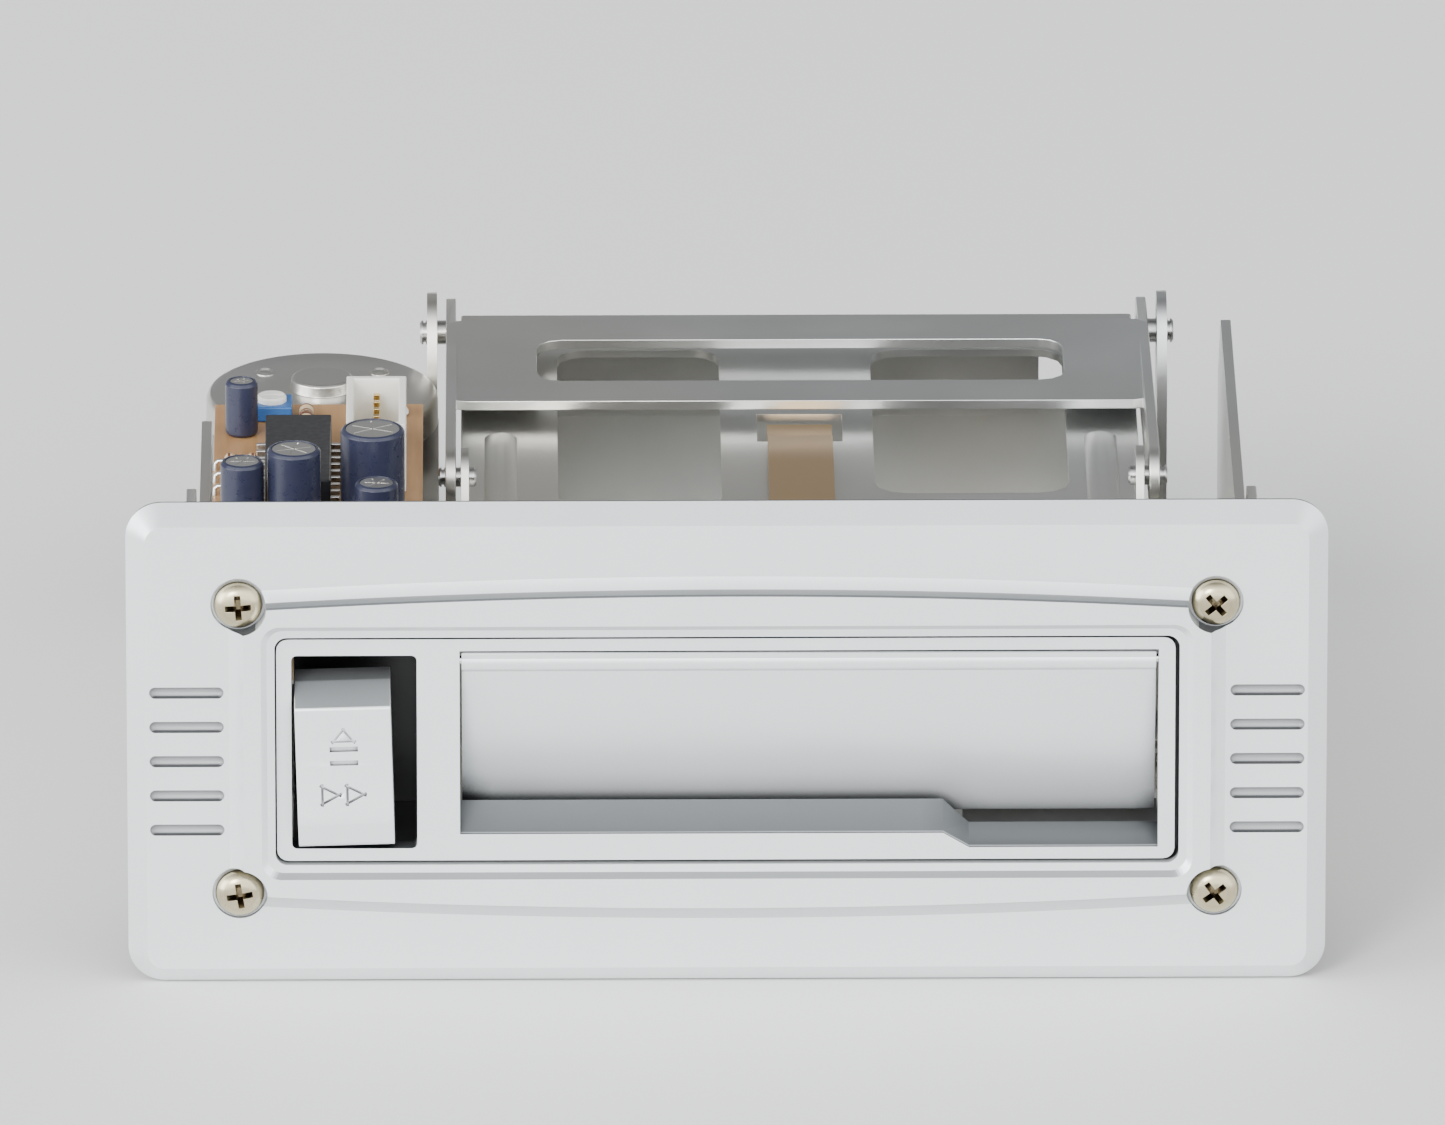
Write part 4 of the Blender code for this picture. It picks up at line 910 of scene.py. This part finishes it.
def build_button():
    low, high = BUTTON_FACE
    half = BUTTON_HALF
    steps = 14
    side = [(2.2, -half), (-3.3, -half), (-3.62, 0.28 - half), (-4.52, 2.4 - half)]
    side += [(button_face(step / steps), low + step / steps * (high - low)) for step in range(steps + 1)]
    side += [(-4.18, half - 1.72), (-1.45, half - 0.14), (-1.2, half), (2.2, half)]
    button = make_object("fine_eject_button", extrude_mesh(side, along_x, -4.6, 4.6), SILVER_BUTTON, 40)
    carve(button, [block_mesh((-0.65, -1.2, -4.905), (1.35, 3, 3.895))])
    baked(round_edges(button, 0.22, 3, 24))
    signs = [sunk([(-1.35, z), (1.35, z), (1.35, z + 0.5), (-1.35, z + 0.5)], 0.3) for z in (0.35, -1.05)]
    signs += sunk_triangle([(-1.15, 1.3), (1.15, 1.3), (0, 2.75)], 0.2, 0.16)
    for x in (-2.3, 0.1):
        signs += sunk_triangle([(x, -2.95), (x, -5.05), (x + 1.95, -4)], 0.24, 0.24)
    carve(button, signs)
    button.modifiers.new("normals", "WEIGHTED_NORMAL").keep_sharp = True
    lean = Matrix.Rotation(radians(BUTTON_LEAN), 4, "Y")
    button.data.transform(Matrix.Translation(Vector((BUTTON_X, 0, BUTTON_Z)) * MM) @ lean)
    place_piece(button, "eject_button")


def build_slot_and_door():
    refine("slot_frame", 0.2, SLOT_SILVER, 3, 24)
    refine("cassette_door", 0.16, SILVER_DOOR, 3, 40)
    y, z = DOOR_AXIS
    pin = [(0, -26.7), (0.36, -26.7), (0.45, -26.55), (0.45, 42.35), (0.36, 42.5), (0, 42.5)]
    fine_turned("door_hinge_pin", pin, (0, y, z), BRIGHT, "X", 32, edge=0)
    left = -24.9
    points = [(left, y + 1, z + 2)] + coil((left, y, z), 0.66, 4, 2, "X", -1)
    place_piece(wire_piece("fine_door_spring", points, 0.12, WIRE), "door_spring")


# ---- sheet metal, screws, pins and springs

SHEET_EDGES = {
    "chassis_plate": 0.12,
    "bracket_left": 0.15,
    "bracket_right": 0.15,
    "lift_arm": 0.14,
    "cassette_holder": 0.12,
    "eject_slide": 0.14,
    "head_plate": 0.1,
    "pinch_arm": 0.1,
    "flywheel_bracket": 0.12,
    "head_bracket": 0.08,
    "cassette_press_spring": 0.05,
    "switch_leaf": 0.05,
}
HOLDER_TOP = 5.5


def bead_mesh(start, end, radius, height):
    """A long bead along Y, pressed up out of a flat sheet."""
    start, end = Vector(start), Vector(end)
    rings = []
    for inset, rise in ((0, -0.25), (0, 0), (0.25, 0.45), (0.6, 0.85), (1, 1)):
        reach = radius * (1 - inset * 0.75)
        ring = []
        for centre, turn in ((end, 0), (start, 180)):
            for u, v in arc((0, 0), reach, turn, turn + 180, 10):
                ring.append(centre + Vector((u, v, height * rise)))
        rings.append(ring)
    return ring_mesh(rings)


def build_sheet_metal():
    for node, edge in SHEET_EDGES.items():
        refine(node, edge)
    for name, x in (("left", -21.6), ("right", 37.3)):
        bead = bead_mesh((x, 26, HOLDER_TOP), (x, 70, HOLDER_TOP), 1.6, 0.45)
        add_to("holder", make_object(f"holder_bead_{name}", bead, ZINC, 60))


def screw_profile(top, under, head, shank, end, pitch=0.4):
    """A pan head with a threaded shank, from its top to its end along one axis."""
    way = 1 if end > top else -1
    high = (under - top) * way
    points = [(0, top), (head * 0.45, top + way * high * 0.04), (head * 0.75, top + way * high * 0.18)]
    points += [(head * 0.93, top + way * high * 0.5), (head, top + way * high * 0.85), (head * 0.98, under)]
    points.append((shank, under))
    for turn in range(int(abs(end - under) / pitch) - 1):
        level = under + way * (turn + 0.5) * pitch
        points += [(shank, level), (shank * 0.86, level + way * pitch * 0.5)]
    return points + [(shank * 0.75, end), (0, end)]


def small_screw(node, profile, centre, axis, steps, cutters):
    screw = make_object("fine_" + node, lathe_mesh(profile, centre, axis, steps), NICKEL, 40)
    place_piece(carve(screw, cutters), node)


def build_small_screws():
    recess = ((1.375, 0.27, 54.1), (1.25, 0.27, 53.9), (0.5, 0.27, 52.9))
    z = -4
    for name, side in (("left", -1), ("right", 1)):
        profile = screw_profile(side * 53.9, side * 52.6, 2.3, 1, side * 48.4)
        for end, y in (("front", 32), ("rear", 56)):
            arms = [bar_mesh(recess, turn, lambda u, v, x: (side * x, y + u, z + v)) for turn in (20, 110)]
            small_screw(f"bracket_screw_{name}_{end}", profile, (0, y, z), "X", 44, arms)
    for name, x in (("left", -47.3), ("right", -31.3)):
        slot = block_mesh((x - 2.4, 94.75, -21), (x + 2.4, 95.25, -20))
        profile = screw_profile(-20.45, -19.45, 2.1, 1, -15.5)
        small_screw(f"motor_screw_{name}", profile, (x, MOTOR[1], 0), "Z", 44, [slot])
    for name, y in (("front", 47.9), ("rear", 62.5)):
        slot = block_mesh((45, y - 0.16, -15), (48, y + 0.16, -14))
        profile = screw_profile(-14.6, -15.4, 1.15, 0.6, -15.95, 0.3)
        small_screw(f"head_screw_{name}", profile, (46.4, y, 0), "Z", 36, [slot])


def build_pins():
    for node, start, end, y, z, radius in (
        ("lift_pivot_pin_left", -29.6, -25.8, 107, 3.5, 1.2),
        ("lift_pivot_pin_right", 41.4, 45.4, 107, 3.5, 1.2),
        ("holder_pin_left", -27.7, -24, 52, 8, 0.95),
        ("holder_pin_right", 39.65, 43.45, 52, 8, 0.95),
    ):
        groove = start + 0.45 if start < 0 else end - 0.45
        low, high = groove - 0.12, groove + 0.12
        profile = [(0, start), (radius - 0.18, start), (radius, start + 0.18), (radius, low)]
        profile += [(radius - 0.2, low), (radius - 0.2, high), (radius, high), (radius, end - 0.18)]
        profile += [(radius - 0.18, end), (0, end)]
        fine_turned(node, profile, (0, y, z), STEEL, "X", 40, edge=0)
    post = [(0, -19.6), (1, -19.6), (1, -12.5), (0.8, -12.2), (0, -12.2)]
    fine_turned("supply_reel_post", post, SUPPLY, BRIGHT, "Z", 32, edge=0)
    fine_turned("take_up_reel_post", post, TAKE_UP, BRIGHT, "Z", 32, edge=0)


def build_springs():
    turns = coil((-38.9, 38, -8), 1.7, 15, 19, "Y")
    lead = [(-38.9, 36, -8.4), (-38.6, 37, -8.3)]
    hook = [(-38.4, 58.6, -7.6), (-37.4, 59.4, -7.2)]
    place_piece(wire_piece("fine_eject_spring", lead + turns + hook, 0.24, WIRE), "eject_spring")
    x, y = PINCH_PIVOT
    radius = 1.75
    turns = coil((x, y, -16.5), radius, 3, 1.2, "Z")
    points = [(x + radius, y - 6, -16.6), *turns, (x + radius, y + 6, -15.3)]
    place_piece(wire_piece("fine_pinch_spring", points, 0.2, WIRE), "pinch_spring")


# ---- motor and drive


def build_motor():
    low, high, radius = -18, 2, 11.5
    profile = [(0, high + 1.2), (2.8, high + 1.2), (3.05, high + 1), (3.2, high), (9.6, high)]
    profile += [(9.9, high - 0.12), (10.5, high - 0.12), (11.1, high - 0.35), (11.4, high - 0.8)]
    profile += [(radius, high - 1.3), (radius, low + 2.6), (radius - 0.18, low + 2.5)]
    profile += [(radius - 0.18, low + 2), (radius, low + 1.9), (radius, low + 0.3), (radius - 0.3, low)]
    profile += [(3.2, low), (3.2, low - 0.6), (1.5, low - 0.6), (1.5, low + 2), (0, low + 2)]
    fine_turned("motor_can", profile, MOTOR, CAN, steps=112, edge=0.08)
    outer, inner = radius + 0.06, radius - 0.2
    band = [(outer, low + 16.4), (outer, low + 4.6), (inner, low + 4.6), (inner, low + 16.4)]
    band = lathe("motor_shield_band", band, MOTOR, BAND, steps=112, hollow=True, edge=0.04)
    add_to("deck", band)
    crimp = [(0, high + 0.05), (0.55, high + 0.05), (0.75, high + 0.22), (1, high + 0.05)]
    crimp += [(1.05, high - 0.2), (0, high - 0.2)]
    for angle in (38, 142, 218, 322):
        turn = radians(angle)
        centre = (MOTOR[0] + 7.2 * cos(turn), MOTOR[1] + 7.2 * sin(turn), 0)
        add_to("deck", lathe("motor_crimp", crimp, centre, CAN, steps=28, edge=0))
    for side in (-1, 1):
        build_terminal(MOTOR[0] + side * 5.2, high)
    shaft = [(0, -23.2), (0.85, -23.2), (1, -23), (1, low + 1.7), (0, low + 1.7)]
    fine_turned("motor_shaft", shaft, MOTOR, BRIGHT, steps=36, edge=0)
    pulley = [(1.2, -20), (4.6, -20), (4.8, -20.15), (4.8, -20.6), (4.1, -21), (3.95, -21.15)]
    pulley += [(3.95, -21.45), (4.1, -21.6), (4.8, -22), (4.8, -22.45), (4.6, -22.6), (1.2, -22.6)]
    fine_turned("motor_pulley", pulley, MOTOR, BRASS, steps=72, hollow=True, edge=0.06)


def build_terminal(x, z):
    """One of the motor's blades on its plastic base, with a drop of solder."""
    base = block_mesh((x - 0.9, 84.6, z - 0.2), (x + 0.9, 86, z + 0.35))
    add_to("deck", round_edges(make_object("motor_terminal_base", base, BLACK), 0.1))
    blade = block_mesh((x - 0.5, 85.1, z + 0.3), (x + 0.5, 85.4, z + 2.3))
    add_to("deck", round_edges(make_object("motor_terminal", blade, BRASS), 0.05))
    drop = [(0, z + 2.5), (0.35, z + 2.3), (0.5, z + 1.7), (0.35, z + 1.2), (0, z + 1.1)]
    drop = lathe("motor_terminal_solder", drop, (x, 85.25, 0), SOLDER, steps=20, edge=0)
    add_to("deck", drop)


def build_flywheel():
    rim = 22
    profile = [(1.2, -19.9), (3.2, -19.9), (3.4, -20.05), (3.4, -20.5), (16.9, -20.55), (17.5, -20.3)]
    profile += [(17.9, -20.1), (rim - 0.3, -20.1), (rim, -20.25), (rim, -20.55), (21.1, -21)]
    profile += [(20.95, -21.1), (20.95, -21.5), (21.1, -21.6), (rim, -22.05), (rim, -22.35)]
    profile += [(rim - 0.2, -22.5), (17.9, -22.5), (17.5, -22.2), (17, -21.7), (3, -21.7), (3, -22.6)]
    profile += [(1.2, -22.6)]
    fine_turned("flywheel", profile, CAPSTAN, STEEL, steps=144, hollow=True, edge=0.08)
    shaft = [(0, -23.1), (0.8, -23.1), (1, -22.85), (1, -8.5), (0.92, -8.3), (0.6, -8.2), (0, -8.2)]
    fine_turned("capstan_shaft", shaft, CAPSTAN, BRIGHT, steps=40, edge=0)
    sleeve = [(1.15, -15.4), (2.3, -15.4), (2.5, -15.6), (2.5, -17.2), (3.15, -17.3), (3.15, -18)]
    sleeve += [(2.65, -18), (2.65, -19.6), (1.15, -19.6)]
    fine_turned("capstan_bearing", sleeve, CAPSTAN, BRASS, steps=56, hollow=True, edge=0.06)


def belt_line(wheels, level):
    """The belt's line round wheels given anticlockwise as x, y and radius."""
    line, ways = [], []
    for (x0, y0, r0), (x1, y1, r1) in zip(wheels, wheels[1:] + wheels[:1]):
        length = hypot(x1 - x0, y1 - y0)
        ways.append(atan2(y1 - y0, x1 - x0) - pi / 2 - asin((r1 - r0) / length))
    for here, (x, y, radius) in enumerate(wheels):
        start, end = ways[here - 1], ways[here]
        end += tau * ceil((start - end) / (tau))
        steps = max(8, round((end - start) * radius * 1.4))
        line += arc((x, y), radius, degrees(start), degrees(end), steps)
    return [(x, y, level) for x, y in line]


def build_belt():
    grow = BELT_RADIUS + BELT_PLAY
    wheels = [(*MOTOR[:2], 4 + grow), (*REEL_DRIVE[:2], 11 + grow), (*CAPSTAN[:2], 21 + grow)]
    belt = wire_piece("fine_drive_belt", belt_line(wheels, BELT_Z), BELT_RADIUS, RUBBER, True, 5)
    place_piece(belt, "drive_belt")


def build_reel_drive():
    wheel = [(0, -16), (1.2, -16), (1.5, -16.3), (1.5, -20), (4, -20), (4.3, -20.35)]
    wheel += [(8.6, -20.35), (9, -20), (11.8, -20), (12, -20.15), (12, -20.5), (11.1, -21)]
    wheel += [(10.95, -21.15), (10.95, -21.45), (11.1, -21.6), (12, -22.1), (12, -22.45), (11.8, -22.6)]
    wheel += [(9, -22.6), (8.6, -22.2), (4.3, -22.2), (4, -22.6), (0, -22.6)]
    fine_turned("reel_drive_pulley", wheel, REEL_DRIVE, NYLON, steps=96, edge=0.08)
    sleeve = [(1.75, -18.15), (2.65, -18.15), (2.65, -19.7), (1.75, -19.7)]
    fine_turned("reel_drive_bearing", sleeve, REEL_DRIVE, BRASS, steps=48, hollow=True, edge=0.06)
    refine("reel_drive_pinion", 0.06, NYLON)
    refine("take_up_gear", 0.06, NYLON)


def build_reel(node, centre, base, bottom):
    """A spindle with three ribs on a flange of radius base."""
    profile = [(0, -8.3), (0.55, -8.32), (0.95, -8.5), (1.5, -9.1), (2.45, -10.2), (2.6, -10.6)]
    profile += [(2.6, -15.5), (2.9, -15.9), (base - 1.6, -15.9), (base - 1.4, -15.75), (base - 0.3, -15.75)]
    profile += [(base, -16), (base, bottom + 0.2), (base - 0.2, bottom), (1.25, bottom), (1.25, -11.6)]
    profile += [(0, -11.6)]
    reel = make_object("fine_" + node, lathe_mesh(profile, centre, "Z", 88), NYLON, 30)
    ribs = []
    for turn in (90, 210, 330):
        angle = radians(turn)
        out = Vector((cos(angle), sin(angle), 0))
        across = Vector((-out.y, out.x, 0)) * 0.45
        rings = []
        for reach, height in ((3.9, -15.7), (3.9, -11.6), (3.5, -10.75), (2.6, -10.1)):
            middle = Vector((*centre[:2], height))
            near, far = middle + out * 1.8, middle + out * reach
            rings.append([near + across, far + across, far - across, near - across])
        ribs.append(ring_mesh(rings))
    carve(reel, ribs, "UNION")
    round_edges(reel, 0.1, 2, 28)
    place_piece(reel, node)


def build_head():
    mid = HEAD_MID_Y
    refine("tape_head", 0.25, BRIGHT, 3, 15)
    gap = block_mesh((40.46, mid - 0.06, -15.2), (40.9, mid + 0.06, -6.2))
    add_to("head", make_object("head_gap", gap, BLACK))
    for index, z in enumerate((-13.6, -11.6, -9.6, -7.6)):
        core = block_mesh((40.47, mid - 1.1, z - 0.45), (40.9, mid + 1.1, z + 0.45))
        add_to("head", make_object(f"head_core_{index}", core, CORE))
    pin = [(0, 48.5), (0.28, 48.5), (0.28, 50.2), (0.15, 50.4), (0, 50.4)]
    for index, (y, z) in enumerate(((-2.2, -12.2), (2.2, -12.2), (-2.2, -9.4), (2.2, -9.4))):
        add_to("head", lathe(f"head_pin_{index}", pin, (0, mid + y, z), BRASS, "X", 20, edge=0))


def build_roller():
    roller = [(0.95, -7.4), (1.9, -7.4), (2, -7.5), (2.2, -7.8), (4.45, -7.8), (4.7, -7.95), (4.75, -8.2)]
    roller += [(4.75, -13.5), (4.7, -13.75), (4.45, -13.9), (2.2, -13.9), (2, -14.2), (1.9, -14.3)]
    roller += [(0.95, -14.3)]
    fine_turned("pinch_roller", roller, ROLLER, RUBBER, steps=80, hollow=True, edge=0.05)
    hub = [(0.98, -7.35), (1.75, -7.35), (1.75, -7.6), (0.98, -7.6)]
    add_to("roller", lathe("roller_bush", hub, ROLLER, BRASS, steps=40, hollow=True, edge=0.04))


# ---- circuit board

CHIP_PINS = [35 + 1.9 * pin for pin in range(10)]
SOCKET_PINS = [41.9 + 2.05 * pin for pin in range(6)]
CAPACITORS = (  # x, y, radius, height
    (-46.6, 29.2, 2.1, 7.4),
    (-41.6, 29.4, 2.6, 8.6),
    (-34, 33.4, 3.1, 9.2),
    (-33.6, 25.2, 2.1, 6.6),
    (-46.9, 57.4, 1.6, 5.6),
)
RESISTORS = (  # x, y, turn
    (-46.9, 47, 0),
    (-46.9, 43.4, 0),
    (-46.9, 39.8, 0),
    (-40.6, 57.6, 90),
    (-40.6, 60.2, 90),
    (-33.6, 57.4, 90),
    (-33.6, 37, 90),
)
TRIMMERS = ((-44, 62.6), (-37.2, 29.6))
TRIMMER_JOINTS = [(-44, 60.8), (-37.2, 27.6)]


def build_board():
    refine("circuit_board", 0.08, BOARD)
    for name in ("front", "rear", "inner"):
        refine(f"board_pillar_{name}", 0.12, NYLON)
    refine("preamp_chip", 0.15, BLACK)
    refine("board_socket", 0.12, NYLON)
    refine("motor_switch", 0.15, BLACK)
    legs = []
    for left, right in ((-38.55, -37.2), (-45.4, -44.2)):
        legs += [block_mesh((left, y - 0.25, BOARD_TOP + 0.02), (right, y + 0.25, 11.5)) for y in CHIP_PINS]
    add_to("deck", round_edges(make_object("chip_legs", join_meshes(legs), SOLDER), 0.08))
    notch = [(0, 14.28), (0.7, 14.28), (0.8, 14.2), (0.8, 14), (0, 14)]
    add_to("deck", lathe("chip_notch", notch, (-41.3, 35.6, 0), RUBBER, steps=28, edge=0))
    pins = join_meshes([block_mesh((-34, y - 0.32, 11.9), (-33.36, y + 0.32, 16.6)) for y in SOCKET_PINS])
    add_to("deck", round_edges(make_object("socket_pins", pins, BRASS), 0.08))
    for index, capacitor in enumerate(CAPACITORS):
        build_capacitor(index, *capacitor)
    for index, resistor in enumerate(RESISTORS):
        build_resistor(index, *resistor)
    for index, trimmer in enumerate(TRIMMERS):
        build_trimmer(index, *trimmer)
    build_solder_side()


def build_capacitor(index, x, y, radius, height):
    low, top = BOARD_TOP, BOARD_TOP + height
    sleeve = [(0, low + 0.05), (radius - 0.25, low + 0.05), (radius, low + 0.35), (radius, top - 0.35)]
    sleeve += [(radius - 0.2, top - 0.08), (radius - 0.45, top), (radius - 0.45, top - 0.2), (0, top - 0.2)]
    can = lathe(f"capacitor_{index}", sleeve, (x, y, 0), SLEEVE, steps=48, edge=0.04)
    add_to("deck", can)
    lid = [(0, top - 0.1), (radius - 0.5, top - 0.1), (radius - 0.48, top - 0.25), (0, top - 0.25)]
    lid = make_object(f"capacitor_lid_{index}", lathe_mesh(lid, (x, y, 0), "Z", 40), CAN)
    middle = Vector((x, y, 0))
    for turn in (0, 60, 120):
        angle = radians(turn + 17 * index)
        along = Vector((cos(angle), sin(angle), 0)) * (radius - 0.9)
        across = Vector((-sin(angle), cos(angle), 0)) * 0.07
        flat = [middle + along * u + across * v for u, v in ((1, 1), (-1, 1), (-1, -1), (1, -1))]
        levels = [Vector((0, 0, level)) for level in (top - 0.15, top + 0.2)]
        carve(lid, [ring_mesh([[point + level for point in flat] for level in levels])])
    add_to("deck", lid)


def build_trimmer(index, x, y):
    body = block_mesh((x - 2, y - 2, BOARD_TOP + 0.05), (x + 2, y + 2, BOARD_TOP + 1.6))
    add_to("deck", round_edges(make_object(f"trimmer_{index}", body, TRIMMER), 0.2))
    low, high = BOARD_TOP + 1.5, BOARD_TOP + 2.2
    knob = [(0, high), (1.3, high), (1.45, high - 0.2), (1.45, low), (0, low)]
    wiper = make_object(f"trimmer_wiper_{index}", lathe_mesh(knob, (x, y, 0), "Z", 40), NYLON)
    carve(wiper, [block_mesh((x - 1.1, y - 0.2, high - 0.4), (x + 1.1, y + 0.2, high + 0.4))])
    add_to("deck", round_edges(wiper, 0.06))


def build_resistor(index, x, y, turn):
    half, bulge, waist = 1.6, 0.75, 0.62
    profile = [(0, -half), (0.35, -half), (bulge, -half + 0.25), (bulge, -half + 0.7), (waist, -half + 0.9)]
    profile += [(waist, half - 0.9), (bulge, half - 0.7), (bulge, half - 0.25), (0.35, half), (0, half)]
    spin = Matrix.Translation((x, y, BOARD_TOP + 0.95)) @ Matrix.Rotation(radians(turn), 4, "Z")
    body = lathe_mesh(profile, (0, 0, 0), "X", 28)
    body.transform(spin)
    add_to("deck", make_object(f"resistor_{index}", body, RESISTOR, 50))
    bands = []
    for middle, radius in ((-1.15, bulge), (-0.45, waist), (0.1, waist), (1.15, bulge)):
        low, high, outer, inner = middle - 0.12, middle + 0.12, radius + 0.02, radius - 0.1
        ring = [(outer, low), (outer, high), (inner, high), (inner, low)]
        bands.append(lathe_mesh(ring, (0, 0, 0), "X", 28, True))
    bands = join_meshes(bands)
    bands.transform(spin)
    add_to("deck", make_object(f"resistor_bands_{index}", bands, BAND_INK, 50))
    for end, side in enumerate((-1, 1)):
        line = ((half * 0.9, 0), (half + 0.6, 0), (half + 0.85, -0.25), (half + 0.9, -1))
        points = [spin @ Vector((side * out, 0, drop)) for out, drop in line]
        leg = wire_piece(f"resistor_leg_{index}_{end}", points, 0.22, SOLDER, False, 3)
        add_to("deck", leg)


def build_solder_side():
    """Joints and copper tracks under the board."""
    low = BOARD_BOTTOM
    spots = [(x, y) for x in (-45, -37.7) for y in CHIP_PINS] + [(-33.7, y) for y in SOCKET_PINS]
    spots += [(x, y) for x, y, _, _ in CAPACITORS] + TRIMMER_JOINTS
    cone = [(0, low - 1), (0.25, low - 0.95), (0.35, low - 0.6), (0.6, low - 0.2), (0.85, low - 0.02)]
    cone.append((0, low - 0.02))
    joints = join_meshes([lathe_mesh(cone, (x, y, 0), "Z", 16) for x, y in spots])
    add_to("deck", make_object("solder_joints", joints, SOLDER, 60))
    tracks = []
    for index, (x, y) in enumerate(spots):
        reach = (1.6 + 1.1 * ((index * 7) % 5)) * (1 if index % 2 else -1)
        left, right = sorted((x, x + reach))
        left, right = max(left, -49.2), min(right, -29.6)
        tracks.append(block_mesh((left, y - 0.35, low - 0.06), (right, y + 0.35, low + 0.05)))
    for x in (-48.6, -39.8, -30.2):
        tracks.append(block_mesh((x - 0.5, 25, low - 0.05), (x + 0.5, 59, low + 0.05)))
    add_to("deck", make_object("copper_tracks", join_meshes(tracks), COPPER))


# ---- build

for name, node in frame["nodes"].items():
    node.data.materials.clear()
    node.data.materials.append(CAD_LOOKS[SLOT_OF[name]])

build_bezel()
build_bezel_screws()
build_button()
build_slot_and_door()
build_sheet_metal()
build_small_screws()
build_pins()
build_springs()
build_motor()
build_flywheel()
build_belt()
build_reel_drive()
build_reel("supply_reel", SUPPLY, 10.2, -17.9)
build_reel("take_up_reel", TAKE_UP, 8, -16.6)
build_head()
build_roller()
build_board()

add_floor()
add_dome()
add_lights()
add_camera()
